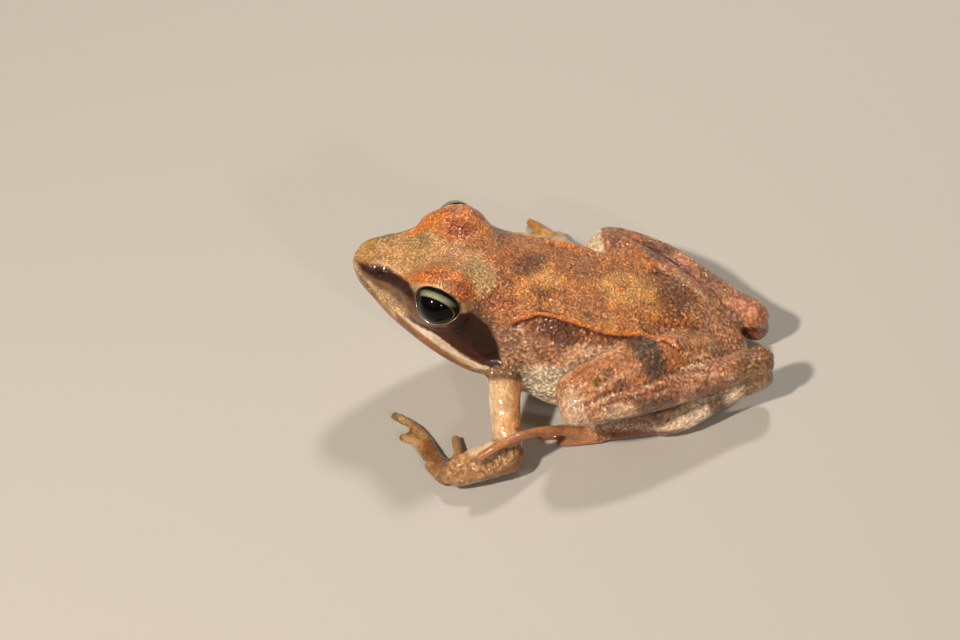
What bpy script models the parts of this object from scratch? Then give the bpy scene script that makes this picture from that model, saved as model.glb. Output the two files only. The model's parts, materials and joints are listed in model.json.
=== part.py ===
"""Wood frog, life size, sitting with its head raised, hands and folded legs on the floor.

The frog faces -Y, its left side is +X, and it rests at z = 0. Sizes are in millimetres and are
turned to metres as each mesh is made. Places are first given in a working frame whose y runs back
from a point just ahead of the snout; the last step centres the whole frog on the origin.
"""

import math

import bmesh
import bpy
import numpy as np
from mathutils import Matrix, Vector

MM = 0.001
GAP = 0.3  # kept between nodes that meet
FLOOR = 0.0
WELD = 0.0000002  # metres; closes the seams a Boolean leaves

# Head and trunk, one row for each station from snout to vent. Each is half of a cross-section:
# the crown, the edge (canthus on the head, fold on the back), the cheek or upper flank, the lip or
# widest flank, the jaw or belly corner, and the underside.
#   y     crown  edge x,z      cheek x,z    lip x,z       jaw x,z      under
BODY = [
    (1.55, 17.35, 0.6, 17.25, 0.9, 16.6, 0.9, 15.9, 0.6, 15.35, 15.2),
    (2.1, 17.85, 1.45, 17.5, 1.9, 16.6, 1.9, 15.6, 1.5, 14.8, 14.5),
    (3.4, 18.1, 2.3, 17.7, 2.9, 16.4, 3.0, 14.8, 2.4, 13.6, 13.2),
    (5.4, 18.15, 2.85, 17.75, 3.6, 15.9, 4.15, 13.6, 3.3, 12.0, 11.5),
    (8.0, 18.4, 4.0, 17.6, 4.9, 15.1, 5.4, 11.9, 4.3, 10.0, 9.5),
    (10.5, 18.6, 5.0, 17.6, 6.1, 14.2, 6.4, 10.15, 5.0, 8.3, 7.8),
    (13.0, 18.5, 5.4, 17.5, 6.9, 13.2, 6.95, 8.6, 5.5, 6.8, 6.3),
    (16.0, 17.8, 5.6, 16.5, 7.2, 12.3, 7.35, 7.3, 5.9, 5.4, 4.9),
    (19.0, 16.6, 5.7, 15.1, 7.3, 11.4, 7.7, 6.9, 6.7, 4.1, 3.7),
    (23.0, 15.1, 5.4, 13.9, 7.8, 10.6, 8.8, 6.3, 7.8, 2.5, 1.8),
    (27.5, 13.6, 5.0, 12.7, 7.6, 9.6, 8.7, 5.7, 7.2, 1.3, 0.4),
    (31.5, 12.3, 4.9, 11.6, 6.7, 8.6, 7.3, 5.2, 5.6, 0.8, -0.2),
    (35.0, 10.4, 4.6, 9.7, 5.5, 7.4, 5.7, 4.7, 4.4, 0.9, 0.0),
    (38.5, 8.0, 3.8, 7.3, 4.3, 5.9, 4.3, 4.0, 3.4, 1.6, 0.9),
    (41.5, 5.9, 2.7, 5.5, 3.0, 4.7, 2.9, 3.6, 2.2, 2.3, 1.9),
    (43.2, 4.6, 1.2, 4.4, 1.35, 4.0, 1.3, 3.5, 1.0, 3.1, 3.0),
]
SNOUT_TIP = (0.0, 1.25, 16.6)
VENT = (0.0, 43.6, 3.8)
NECK_Y = 18.2

# Where each ring has its points between one landmark and the next, closer beside the edge.
HEAD_SPANS = ((0, 0.2, 0.4, 0.6, 0.8), (0, 0.17, 0.34, 0.5, 0.67, 0.83), (0, 0.2, 0.4, 0.6, 0.8),
              (0, 0.3, 0.65), (0, 0.33, 0.67))
TRUNK_SPANS = ((0, 0.3, 0.6, 0.86), (0, 0.16, 0.45, 0.75), (0, 0.35, 0.7), (0, 0.35, 0.7), (0, 0.5))

# Dorsolateral fold: how far it stands up along the back, and the milder canthus on the snout.
FOLD_RISE = [(0.0, 0.0), (3.0, 0.05), (5.0, 0.15), (9.0, 0.15), (10.5, 0.0), (18.0, 0.0),
             (21.0, 0.4), (26.0, 0.5), (34.0, 0.5), (38.0, 0.3), (41.0, 0.0), (44.0, 0.0)]

# Eyes. The ball sits in a domed socket whose skin is the lids, open along EYE_OPENS.
EYE = (4.6, 12.2, 15.7)
EYE_R = 3.1
LID_R = 3.75
BROW = (0.0, -0.95, 0.3)  # the lids run out longer this way, towards the canthus
BROW_RISE = 0.9
EYE_OPENS = (0.871, -0.211, 0.418)
EYE_LONG = (0.17, -0.92, 0.35)  # the opening's long way, down towards the jaw corner
OPEN_HALF_LONG = 55.0
OPEN_HALF_SHORT = 38.0
CORNEA_RISE = 1.1
CORNEA_HALF = 48.0  # degrees from the middle of the opening to where the cornea meets the ball

NOSTRIL = (2.95, 5.0, 17.35)
NOSTRIL_R = 0.36
EARDRUM = (7.15, 16.2, 11.3)
EARDRUM_FACES = (0.93, 0.16, 0.32)
EARDRUM_R = 1.3
EARDRUM_RIM = 0.24

# Limbs, given as for the left side: stations of x, y, z, half width and half depth, root to end.
# The right leg is tucked a little lower than the left.
LEG_LINES = {
    "left": {
        "thigh": [(0.9, 40.2, 3.9, 2.1, 2.0), (3.9, 37.0, 6.6, 3.0, 2.8), (7.4, 32.6, 8.4, 3.2, 3.0),
                  (10.4, 28.4, 8.5, 2.9, 2.7), (12.9, 24.6, 8.3, 2.5, 2.4)],
        "shank": [(13.2, 24.7, 7.6, 1.9, 1.8), (12.4, 28.4, 7.3, 2.4, 2.0), (10.4, 33.0, 7.0, 2.5, 2.1),
                  (7.8, 38.2, 6.4, 2.1, 1.9), (5.0, 43.0, 6.0, 1.7, 1.7), (3.0, 46.8, 5.7, 1.9, 1.9)],
        "tarsus": [(3.5, 46.6, 4.0, 1.6, 1.5), (5.7, 41.9, 3.3, 1.5, 1.6), (8.6, 37.2, 1.9, 1.5, 1.5),
                   (9.4, 33.6, 1.4, 1.5, 1.3)],
    },
    "right": {
        "thigh": [(0.9, 40.2, 3.6, 2.1, 2.0), (3.8, 37.2, 5.5, 2.8, 2.4), (6.8, 33.4, 6.7, 2.9, 2.4),
                  (9.8, 28.8, 7.4, 2.7, 2.3), (12.2, 24.9, 7.8, 2.5, 2.3)],
        "shank": [(13.9, 24.8, 6.4, 2.1, 2.0), (13.0, 28.8, 5.9, 2.4, 2.2), (11.1, 33.4, 5.5, 2.4, 2.2),
                  (8.0, 38.2, 5.0, 2.0, 1.9), (5.4, 42.2, 4.8, 1.7, 1.6), (3.3, 45.4, 4.6, 1.8, 1.8)],
        "tarsus": [(3.7, 45.3, 2.8, 1.6, 1.4), (5.8, 41.4, 2.1, 1.4, 1.3), (7.7, 37.4, 1.6, 1.4, 1.3),
                   (9.3, 33.6, 1.3, 1.5, 1.2)],
    },
}
LEG_FACES = (0.62, 0.25, -0.74)
FLAT_FACES = (0.0, 0.0, 1.0)

INSTEP = [(9.0, 34.6, 1.2, 1.3, 1.1), (9.5, 30.0, 1.0, 1.6, 0.9), (9.9, 27.0, 0.9, 1.7, 0.7)]
# Each toe: root, end and half width; they lie on the floor.
TOES_FLAT = [
    ((8.7, 29.6, 0.6), (8.2, 24.9, 0.45), 0.5),
    ((9.2, 28.8, 0.6), (9.4, 22.9, 0.45), 0.52),
    ((9.7, 28.2, 0.65), (10.7, 21.2, 0.45), 0.55),
    ((10.3, 28.2, 0.65), (15.6, 14.6, 0.45), 0.6),
    ((10.8, 28.8, 0.6), (11.6, 23.6, 0.45), 0.52),
]
# The right foot's two outer toes, which pass below and behind the elbow.
OUTER_TOES_RIGHT = [
    ((10.4, 28.2, 0.65), (12.4, 16.6, 0.45), 0.6),
    ((11.0, 28.8, 0.6), (14.0, 23.6, 0.45), 0.52),
]
# The left foot's longest toe climbs over the elbow instead.
TOE_OVER_ARM = [(10.4, 28.2, 0.9, 0.65, 0.6), (11.3, 24.6, 2.2, 0.65, 0.6), (13.8, 21.6, 4.5, 0.6, 0.55),
                (16.5, 18.8, 5.6, 0.55, 0.5), (18.1, 16.1, 4.7, 0.5, 0.42)]
WEB_THICK = 0.5
WEB_REACH = 0.62  # share of a toe that the web runs along
WEB_NOTCH = 0.45

ARM = {
    "left": {
        "upper_arm": [(5.4, 18.2, 7.7, 2.1, 2.0), (9.0, 18.1, 5.9, 1.8, 1.8), (12.4, 18.5, 4.0, 1.65, 1.65),
                      (15.2, 19.1, 2.1, 1.7, 1.6)],
        "forearm": [(15.0, 20.7, 2.3, 1.6, 1.6), (15.7, 18.3, 2.5, 2.0, 2.0), (16.5, 15.9, 2.3, 2.0, 2.0),
                    (17.3, 13.8, 1.8, 1.7, 1.6), (17.9, 12.2, 1.3, 1.3, 1.2)],
        "palm": [(17.9, 13.0, 1.1, 1.3, 1.0), (16.2, 11.4, 0.9, 1.35, 0.85), (14.6, 10.2, 0.7, 1.3, 0.6)],
        "fingers": [
            [(16.6, 12.6, 0.8, 0.6, 0.55), (14.1, 13.1, 0.8, 0.55, 0.5), (10.9, 12.2, 0.5, 0.5, 0.5)],
            [(16.0, 11.8, 0.8, 0.7, 0.6), (11.1, 8.7, 0.6, 0.6, 0.55), (9.1, 6.7, 0.5, 0.55, 0.5),
             (7.9, 4.5, 0.45, 0.5, 0.5)],
            [(16.2, 11.2, 0.8, 0.7, 0.6), (13.7, 9.4, 0.6, 0.65, 0.55), (11.7, 7.8, 0.5, 0.6, 0.5),
             (11.2, 5.9, 0.45, 0.5, 0.5)],
            [(17.2, 12.4, 0.8, 0.6, 0.55), (17.8, 15.0, 0.5, 0.55, 0.5), (17.5, 19.1, 0.45, 0.5, 0.5)],
        ],
    },
    "right": {
        "upper_arm": [(5.4, 18.2, 7.7, 2.1, 2.0), (8.8, 18.8, 6.1, 1.8, 1.8), (12.0, 20.2, 4.5, 1.65, 1.65),
                      (14.2, 21.4, 3.4, 1.6, 1.6)],
        "forearm": [(12.8, 22.0, 2.9, 1.5, 1.5), (15.2, 21.2, 2.6, 1.9, 1.8), (17.6, 20.3, 1.7, 1.4, 1.3),
                    (19.2, 19.6, 1.2, 1.2, 1.0)],
        "palm": [(18.4, 20.0, 1.1, 1.2, 1.0), (19.6, 19.4, 0.9, 1.6, 0.8), (20.7, 18.6, 0.6, 1.4, 0.6)],
        "fingers": [
            [(19.0, 18.9, 0.8, 0.6, 0.55), (17.8, 16.9, 0.6, 0.55, 0.5), (17.0, 14.9, 0.45, 0.5, 0.5)],
            [(19.6, 18.7, 0.8, 0.65, 0.6), (20.3, 16.0, 0.6, 0.6, 0.55), (20.8, 13.0, 0.45, 0.5, 0.5)],
            [(20.4, 18.7, 0.8, 0.7, 0.6), (21.9, 17.2, 0.6, 0.6, 0.55), (23.2, 15.6, 0.45, 0.55, 0.5)],
            [(19.0, 19.8, 0.8, 0.6, 0.55), (19.0, 21.0, 0.6, 0.55, 0.5), (18.3, 22.4, 0.45, 0.5, 0.5)],
        ],
    },
}

# Colours as linear red, green, blue, with roughness.
BACK = ((0.42, 0.13, 0.035), 0.45)
FACE = ((0.46, 0.22, 0.08), 0.45)
JAW = ((0.52, 0.33, 0.2), 0.5)
LEG = ((0.4, 0.15, 0.06), 0.45)
ARM_SKIN = ((0.62, 0.33, 0.17), 0.4)
FOOT_SKIN = ((0.45, 0.2, 0.1), 0.45)
EYE_BALL = ((0.01, 0.01, 0.012), 0.1)


def clear_scene():
    for obj in list(bpy.data.objects):
        bpy.data.objects.remove(obj)


def material(name, look):
    colour, roughness = look
    made = bpy.data.materials.get(name) or bpy.data.materials.new(name)
    made.use_nodes = True
    shader = made.node_tree.nodes["Principled BSDF"]
    shader.inputs["Base Color"].default_value = (*colour, 1.0)
    shader.inputs["Roughness"].default_value = roughness
    shader.inputs["Metallic"].default_value = 0.0
    return made


def curve_through(rows, places):
    """Rows of numbers, read off a Catmull-Rom curve through them at places counted in rows."""
    rows = np.array(rows, float)
    last = len(rows) - 1
    slopes = np.gradient(rows, axis=0)
    out = []
    for place in np.atleast_1d(places):
        i = min(int(place), last - 1)
        t = place - i
        out.append(
            (2 * t**3 - 3 * t**2 + 1) * rows[i]
            + (t**3 - 2 * t**2 + t) * slopes[i]
            + (3 * t**2 - 2 * t**3) * rows[i + 1]
            + (t**3 - t**2) * slopes[i + 1]
        )
    return np.array(out)


def value_at(knots, y):
    return float(np.interp(y, [k[0] for k in knots], [k[1] for k in knots]))


def place_of_y(y):
    """The station count at which the body curve reaches y."""
    low, high = 0.0, len(BODY) - 1.0
    for _ in range(40):
        middle = (low + high) / 2
        if curve_through(BODY, middle)[0][0] < y:
            low = middle
        else:
            high = middle
    return (low + high) / 2


def mesh_object(name, points, faces, look):
    mesh = bpy.data.meshes.new(name)
    mesh.from_pydata([Vector(p) * MM for p in points], [], faces)
    body = bmesh.new()
    body.from_mesh(mesh)
    bmesh.ops.recalc_face_normals(body, faces=body.faces)
    bmesh.ops.triangulate(body, faces=body.faces)
    body.to_mesh(mesh)
    body.free()
    mesh.materials.append(material(name.split("_")[0], look))
    mesh.shade_smooth()
    obj = bpy.data.objects.new(name, mesh)
    bpy.context.collection.objects.link(obj)
    return obj


def loft(name, rings, start, end, look):
    """A closed skin over rings of equal count, each end drawn to one point."""
    count = len(rings[0])
    points = [p for ring in rings for p in ring] + [start, end]
    first, last = len(points) - 2, len(points) - 1
    faces = []
    for r in range(len(rings) - 1):
        for i in range(count):
            j = (i + 1) % count
            faces.append((r * count + i, r * count + j, (r + 1) * count + j, (r + 1) * count + i))
    base = (len(rings) - 1) * count
    for i in range(count):
        j = (i + 1) % count
        faces.append((first, j, i))
        faces.append((last, base + i, base + j))
    return mesh_object(name, points, faces, look)


def body_ring(row, spans, grow):
    """The cross-section of head or trunk at one station, starting at the crown and going round by +x."""
    y, crown, ex, ez, cx, cz, lx, lz, jx, jz, under = row
    half = [(0, crown), (ex, ez), (cx, cz), (lx, lz), (jx, jz), (0, under)]
    whole = half + [(-x, z) for x, z in half[-2:0:-1]]
    count = len(whole)
    loop = np.array(whole)
    slopes = (np.roll(loop, -1, axis=0) - np.roll(loop, 1, axis=0)) / 2
    shares = list(spans) + [tuple(sorted({0.0} | {1 - t for t in span[1:]})) for span in spans[::-1]]
    ring = []
    for i in range(count):
        a, b = loop[i], loop[(i + 1) % count]
        ma, mb = slopes[i], slopes[(i + 1) % count]
        for t in shares[i]:
            p = ((2 * t**3 - 3 * t**2 + 1) * a + (t**3 - 2 * t**2 + t) * ma
                 + (3 * t**2 - 2 * t**3) * b + (t**3 - t**2) * mb)
            ring.append([p, i == 1 and t == 0 or i == count - 1 and t == 0])
    flat = np.array([p for p, _ in ring])
    along = np.roll(flat, -1, axis=0) - np.roll(flat, 1, axis=0)
    out = np.stack([-along[:, 1], along[:, 0]], axis=1)
    out /= np.linalg.norm(out, axis=1)[:, None] + 1e-9
    rise = value_at(FOLD_RISE, y)
    lift = np.array([grow + (rise if edge else 0.0) for _, edge in ring])
    flat = flat + out * lift[:, None]
    return [(x, y, z) for x, z in flat]


def eye_dome(p):
    """Pushes a point of the head outwards so that the skin domes over each eyeball."""
    for side in (1, -1):
        centre = Vector((side * EYE[0], EYE[1], EYE[2]))
        away = Vector(p) - centre
        reach = away.length
        brow = max(0.0, away.normalized().dot(Vector(BROW).normalized()))
        lid = LID_R + BROW_RISE * brow**3
        if reach < lid + 1.5:
            soft = 0.6
            blend = max(0.0, soft - abs(reach - lid)) / soft
            reach = max(reach, lid) + blend * blend * soft / 4
            p = centre + away.normalized() * reach
    return tuple(p)


def body_piece(name, y_from, y_to, steps, spans, look, grow=0.0, domes=False):
    """Head or trunk between two values of y, or to the snout or vent where one is None."""
    low = 0.0 if y_from is None else place_of_y(y_from)
    high = len(BODY) - 1.0 if y_to is None else place_of_y(y_to)
    rows = curve_through(BODY, np.linspace(low, high, steps))
    rings = [body_ring(row, spans, grow) for row in rows]
    if domes:
        rings = [[eye_dome(p) for p in ring] for ring in rings]
    start = (0.0, SNOUT_TIP[1] - grow, SNOUT_TIP[2]) if y_from is None else centre_of(rings[0])
    end = (0.0, VENT[1] + grow, VENT[2]) if y_to is None else centre_of(rings[-1])
    return loft(name, rings, start, end, look)


def centre_of(ring):
    middle = np.mean(np.array(ring), axis=0)
    return (0.0, float(middle[1]), float(middle[2]))


def limb(name, stations, look, faces=FLAT_FACES, side=1, sides=14, step=1.2, grow=0.0, bulges=()):
    """A round-ended limb through its stations. Bulges are (share of length, height, half length)."""
    rows = curve_through(stations, np.linspace(0, len(stations) - 1, 60))
    rows[:, 0] *= side
    lengths = np.concatenate([[0], np.cumsum(np.linalg.norm(np.diff(rows[:, :3], axis=0), axis=1))])
    total = lengths[-1]
    turn = Vector((faces[0] * side, faces[1], faces[2]))
    starts, ends = min(rows[0][3:]), min(rows[-1][3:])
    cap = [1 - math.cos(math.radians(a)) for a in (25, 50, 72)]
    inner = max(2, round((total - starts - ends) / step))
    spots = ([starts * c for c in cap] + list(np.linspace(starts, total - ends, inner))
             + [total - ends * c for c in cap[::-1]])
    rings = []
    for s in spots:
        row = np.array([np.interp(s, lengths, rows[:, k]) for k in range(5)])
        ahead = np.array([np.interp(min(s + 0.2, total), lengths, rows[:, k]) for k in range(3)])
        behind = np.array([np.interp(max(s - 0.2, 0), lengths, rows[:, k]) for k in range(3)])
        tangent = Vector(ahead - behind).normalized()
        across = tangent.cross(turn).normalized()
        deep = across.cross(tangent).normalized()
        round_off = 1.0
        if s < starts:
            round_off = math.sqrt(max(0.0, 1 - ((starts - s) / starts) ** 2))
        if s > total - ends:
            round_off = math.sqrt(max(0.0, 1 - ((s - total + ends) / ends) ** 2))
        swell = sum(h * math.exp(-(((s / total - at) * total / half) ** 2)) for at, h, half in bulges)
        width = (row[3] + swell) * round_off + grow
        depth = (row[4] + swell) * round_off + grow
        ring = []
        for k in range(sides):
            angle = 2 * math.pi * k / sides
            p = Vector(row[:3]) + across * width * math.cos(angle) + deep * depth * math.sin(angle)
            ring.append(tuple(p))
        rings.append(ring)
    first = Vector(rows[0][:3]) - (Vector(rows[1][:3]) - Vector(rows[0][:3])).normalized() * grow
    final = Vector(rows[-1][:3]) + (Vector(rows[-1][:3]) - Vector(rows[-2][:3])).normalized() * grow
    return loft(name, rings, tuple(first), tuple(final), look)


def ball(name, centre, radius, look, rings=18, sides=28, along=(0, 0, 1), rise=0.0, rise_angle=45.0):
    """A sphere with its pole along one direction, where a cornea may stand further out."""
    turn = Vector(along).to_track_quat("Z", "X").to_matrix()
    loops = []
    for r in range(1, rings):
        polar = math.pi * r / rings
        share = max(0.0, 1 - math.degrees(polar) / rise_angle)
        reach = radius + rise * (3 * share**2 - 2 * share**3)
        loops.append([
            tuple(Vector(centre) + turn @ Vector((
                reach * math.sin(polar) * math.cos(2 * math.pi * k / sides),
                reach * math.sin(polar) * math.sin(2 * math.pi * k / sides),
                reach * math.cos(polar))))
            for k in range(sides)
        ])
    top = Vector(centre) + turn @ Vector((0, 0, radius + rise))
    bottom = Vector(centre) - turn @ Vector((0, 0, radius))
    return loft(name, loops, tuple(top), tuple(bottom), look)


def eye_frame(side):
    """Centre, outward direction and long direction of one eye's opening."""
    centre = Vector((side * EYE[0], EYE[1], EYE[2]))
    outward = Vector((side * EYE_OPENS[0], EYE_OPENS[1], EYE_OPENS[2])).normalized()
    long_way = Vector((side * EYE_LONG[0], EYE_LONG[1], EYE_LONG[2]))
    long_way = (long_way - outward * long_way.dot(outward)).normalized()
    return centre, outward, long_way


def eye_opening(name, side):
    """A flared oval plug that opens the lids over the ball."""
    centre, outward, long_way = eye_frame(side)
    short_way = outward.cross(long_way)
    rings = []
    for reach in (0.8, 2.0, 3.2, 4.4, 5.6):
        rings.append([
            tuple(centre + outward * reach
                  + long_way * reach * math.tan(math.radians(OPEN_HALF_LONG)) * math.cos(a) * 0.85
                  + short_way * reach * math.tan(math.radians(OPEN_HALF_SHORT)) * math.sin(a) * 0.85)
            for a in [2 * math.pi * k / 24 for k in range(24)]
        ])
    return loft(name, rings, tuple(centre + outward * 0.8), tuple(centre + outward * 5.6), EYE_BALL)


def plate(name, outline, z_low, z_high, look):
    """A flat web between toes: an outline of x, y raised to a thin slab."""
    count = len(outline)
    points = [(x, y, z_low) for x, y in outline] + [(x, y, z_high) for x, y in outline]
    faces = [tuple(range(count))[::-1], tuple(range(count, 2 * count))]
    for i in range(count):
        j = (i + 1) % count
        faces.append((i, j, count + j, count + i))
    return mesh_object(name, points, faces, look)


def ring_of(name, centre, axis, radius, thick, look, sides=24, around=6):
    """A torus, for the rim of the eardrum."""
    turn = Vector(axis).to_track_quat("Z", "X").to_matrix()
    points, faces = [], []
    for i in range(sides):
        a = 2 * math.pi * i / sides
        for j in range(around):
            b = 2 * math.pi * j / around
            reach = radius + thick * math.cos(b)
            local = Vector((reach * math.cos(a), reach * math.sin(a), thick * math.sin(b)))
            points.append(tuple(Vector(centre) + turn @ local))
            n, m = (i + 1) % sides, (j + 1) % around
            faces.append((i * around + j, n * around + j, n * around + m, i * around + m))
    return mesh_object(name, points, faces, look)


def apply_boolean(obj, operation, others, solver="EXACT"):
    """Cuts obj by, or joins it with, the others, which are then removed."""
    group = bpy.data.collections.new("operands")
    for other in others:
        group.objects.link(other)
    step = obj.modifiers.new(operation.lower(), "BOOLEAN")
    step.operation = operation
    step.operand_type = "COLLECTION"
    step.collection = group
    step.solver = solver
    bpy.context.view_layer.update()
    result = bpy.data.meshes.new_from_object(obj.evaluated_get(bpy.context.evaluated_depsgraph_get()))
    obj.modifiers.clear()
    obj.data = result
    for other in list(group.objects):
        bpy.data.objects.remove(other)
    bpy.data.collections.remove(group)
    keep_largest(obj)
    return obj


def keep_largest(obj):
    """Leaves only the closed surface that spans most, and welds the seams of a Boolean."""
    mesh = bmesh.new()
    mesh.from_mesh(obj.data)
    bmesh.ops.remove_doubles(mesh, verts=mesh.verts, dist=WELD)
    bmesh.ops.dissolve_degenerate(mesh, edges=mesh.edges, dist=WELD)
    left, shells = set(mesh.faces), []
    while left:
        shell, edge = set(), [left.pop()]
        while edge:
            face = edge.pop()
            shell.add(face)
            for e in face.edges:
                for other in e.link_faces:
                    if other in left:
                        left.discard(other)
                        edge.append(other)
        shells.append(shell)
    shells.sort(key=lambda s: sum(f.calc_area() for f in s))
    drop = [f for shell in shells[:-1] for f in shell]
    bmesh.ops.delete(mesh, geom=drop, context="FACES")
    loose = [v for v in mesh.verts if not v.link_faces]
    bmesh.ops.delete(mesh, geom=loose, context="VERTS")
    bmesh.ops.triangulate(mesh, faces=mesh.faces)
    mesh.to_mesh(obj.data)
    mesh.free()


def set_down(obj):
    """Cuts off what would sink into the floor, which leaves the sole flat."""
    corners = [(x, y, z) for x in (-40, 40) for y in (-10, 70) for z in (-10, FLOOR)]
    faces = [(0, 1, 3, 2), (4, 6, 7, 5), (0, 4, 5, 1), (2, 3, 7, 6), (0, 2, 6, 4), (1, 5, 7, 3)]
    apply_boolean(obj, "DIFFERENCE", [mesh_object("floor", corners, faces, JAW)])


def body_cutter():
    """Head and trunk together, grown by the gap, to trim what lies against them."""
    return body_piece("cutter", None, None, 44, TRUNK_SPANS, BACK, grow=GAP)


def mouth_block(name, above):
    """All that lies above or below the line of the mouth, half a gap away from it."""
    line = [(0.0, 16.4), (1.6, 16.0)] + [(row[0], row[7]) for row in BODY[:9]]
    rows = curve_through(line, np.linspace(0, len(line) - 1, 30))
    edge = GAP / 2 if not above else -GAP / 2
    far = -20.0 if not above else 40.0
    points, faces = [], []
    for y, z in rows:
        for x in (-20.0, 20.0):
            points.append((x, y, z + edge))
            points.append((x, y, far))
    for r in range(len(rows) - 1):
        a, b = r * 4, r * 4 + 4
        for i, j in ((0, 2), (2, 3), (3, 1), (1, 0)):
            faces.append((a + i, a + j, b + j, b + i))
    faces.append((0, 1, 3, 2))
    base = (len(rows) - 1) * 4
    faces.append((base, base + 2, base + 3, base + 1))
    return mesh_object(name, points, faces, JAW)


def make_head():
    head = body_piece("head", None, NECK_Y - GAP / 2, 34, HEAD_SPANS, FACE, domes=True)
    jaw = body_piece("lower_jaw", None, NECK_Y - GAP / 2, 24, HEAD_SPANS, JAW)
    apply_boolean(jaw, "DIFFERENCE", [mouth_block("cutter", above=True)])
    rims = [
        ring_of("rim", (side * EARDRUM[0], EARDRUM[1], EARDRUM[2]),
                (side * EARDRUM_FACES[0], EARDRUM_FACES[1], EARDRUM_FACES[2]),
                EARDRUM_R, EARDRUM_RIM, FACE)
        for side in (1, -1)
    ]
    apply_boolean(head, "UNION", rims)
    cutters = [mouth_block("cutter", above=False)]
    apply_boolean(head, "DIFFERENCE", cutters)
    for side in (1, -1):
        centre, outward, _ = eye_frame(side)
        socket = ball("socket", tuple(centre), EYE_R + GAP, EYE_BALL, 14, 24, tuple(outward))
        apply_boolean(head, "DIFFERENCE", [socket, eye_opening("plug", side)])
        pit = ball("pit", (side * NOSTRIL[0], NOSTRIL[1], NOSTRIL[2]), NOSTRIL_R, EYE_BALL, 6, 10)
        apply_boolean(head, "DIFFERENCE", [pit])


def make_eyes():
    for word, side in (("left", 1), ("right", -1)):
        centre, outward, _ = eye_frame(side)
        ball("eye_" + word, tuple(centre), EYE_R, EYE_BALL, 12, 22, tuple(outward), CORNEA_RISE, CORNEA_HALF)


def make_torso():
    set_down(body_piece("torso", NECK_Y + GAP / 2, None, 26, TRUNK_SPANS, BACK))


def make_arm(word, side):
    sizes = ARM[word]
    upper = limb("upper_arm_" + word, sizes["upper_arm"], ARM_SKIN, side=side)
    apply_boolean(upper, "DIFFERENCE", [body_cutter()])
    fore = limb("forearm_" + word, sizes["forearm"], ARM_SKIN, side=side)
    cutter = limb("cutter", sizes["upper_arm"], ARM_SKIN, side=side, grow=GAP)
    apply_boolean(fore, "DIFFERENCE", [cutter])
    set_down(fore)
    hand = limb("hand_" + word, sizes["palm"], FOOT_SKIN, side=side, sides=12)
    knuckles = ((0.45, 0.08, 0.7), (0.75, 0.06, 0.5), (0.95, 0.08, 0.5))
    fingers = [
        limb("finger", stations, FOOT_SKIN, side=side, sides=8, step=1.4, bulges=knuckles)
        for stations in sizes["fingers"]
    ]
    apply_boolean(hand, "UNION", fingers)
    cutter = limb("cutter", sizes["forearm"], ARM_SKIN, side=side, grow=GAP)
    apply_boolean(hand, "DIFFERENCE", [cutter])
    set_down(hand)


def toe_path(root, end, half):
    middle = [(a + b) / 2 for a, b in zip(root, end)]
    return [(*root, half, half), (*middle, half * 0.95, half * 0.9), (*end, half * 0.75, half * 0.75)]


def make_leg(word, side):
    lines = LEG_LINES[word]
    thigh = limb("thigh_" + word, lines["thigh"], LEG, LEG_FACES, side, sides=14)
    apply_boolean(thigh, "DIFFERENCE", [body_cutter()])
    shank = limb("shank_" + word, lines["shank"], LEG, LEG_FACES, side, sides=14)
    cutters = [body_cutter(), limb("cutter", lines["thigh"], LEG, LEG_FACES, side, sides=14, grow=GAP)]
    for cutter in cutters:
        apply_boolean(shank, "DIFFERENCE", [cutter])
    tarsus = limb("tarsus_" + word, lines["tarsus"], LEG, side=side)
    apply_boolean(tarsus, "DIFFERENCE", [body_cutter()])
    cutter = limb("cutter", lines["shank"], LEG, LEG_FACES, side, sides=14, grow=GAP)
    apply_boolean(tarsus, "DIFFERENCE", [cutter])
    set_down(tarsus)
    foot = limb("foot_" + word, INSTEP, FOOT_SKIN, side=side, sides=12)
    toes = []
    flat = TOES_FLAT if word == "left" else TOES_FLAT[:3] + OUTER_TOES_RIGHT
    for number, toe in enumerate(flat):
        stations = toe_path(*toe)
        if word == "left" and number == 3:
            stations = TOE_OVER_ARM
        knuckles = ((0.4, 0.07, 0.7), (0.65, 0.06, 0.6), (0.96, 0.08, 0.5))
        toes.append(limb("toe", stations, FOOT_SKIN, side=side, sides=8, step=1.6, bulges=knuckles))
    apply_boolean(foot, "UNION", toes)
    for web in webs(word, side):
        apply_boolean(foot, "UNION", [web])
    cutter = limb("cutter", lines["tarsus"], LEG, side=side, grow=GAP)
    apply_boolean(foot, "DIFFERENCE", [cutter])
    set_down(foot)


def along_toe(toe, share):
    root, end, _ = toe
    return [root[k] + (end[k] - root[k]) * share for k in (0, 1)]


def webs(word, side):
    """Thin skin between the toes that lie flat, notched between one toe and the next."""
    toes = TOES_FLAT[:3] if word == "left" else TOES_FLAT[:3] + OUTER_TOES_RIGHT
    outline = [along_toe(toes[0], 0.05)]
    for toe, neighbour in zip(toes, toes[1:]):
        near, far = along_toe(toe, WEB_NOTCH), along_toe(neighbour, WEB_NOTCH)
        outline.append(along_toe(toe, WEB_REACH))
        outline.append([(near[k] + far[k]) / 2 for k in (0, 1)])
    outline += [along_toe(toes[-1], WEB_REACH), along_toe(toes[-1], 0.05)]
    return [plate("web", [(side * x, y) for x, y in outline], 0.05, 0.05 + WEB_THICK, FOOT_SKIN)]


def centre_on_origin():
    """Shifts every mesh so that the frog's box stands on the origin."""
    corners = [v.co for obj in bpy.data.objects for v in obj.data.vertices]
    low = Vector([min(c[k] for c in corners) for k in range(3)])
    high = Vector([max(c[k] for c in corners) for k in range(3)])
    shift = Matrix.Translation((-(low.x + high.x) / 2, -(low.y + high.y) / 2, -low.z))
    for obj in bpy.data.objects:
        obj.data.transform(shift)


def main():
    clear_scene()
    make_head()
    make_eyes()
    make_torso()
    for word, side in (("left", 1), ("right", -1)):
        make_arm(word, side)
        make_leg(word, side)
    centre_on_origin()


main()
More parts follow.
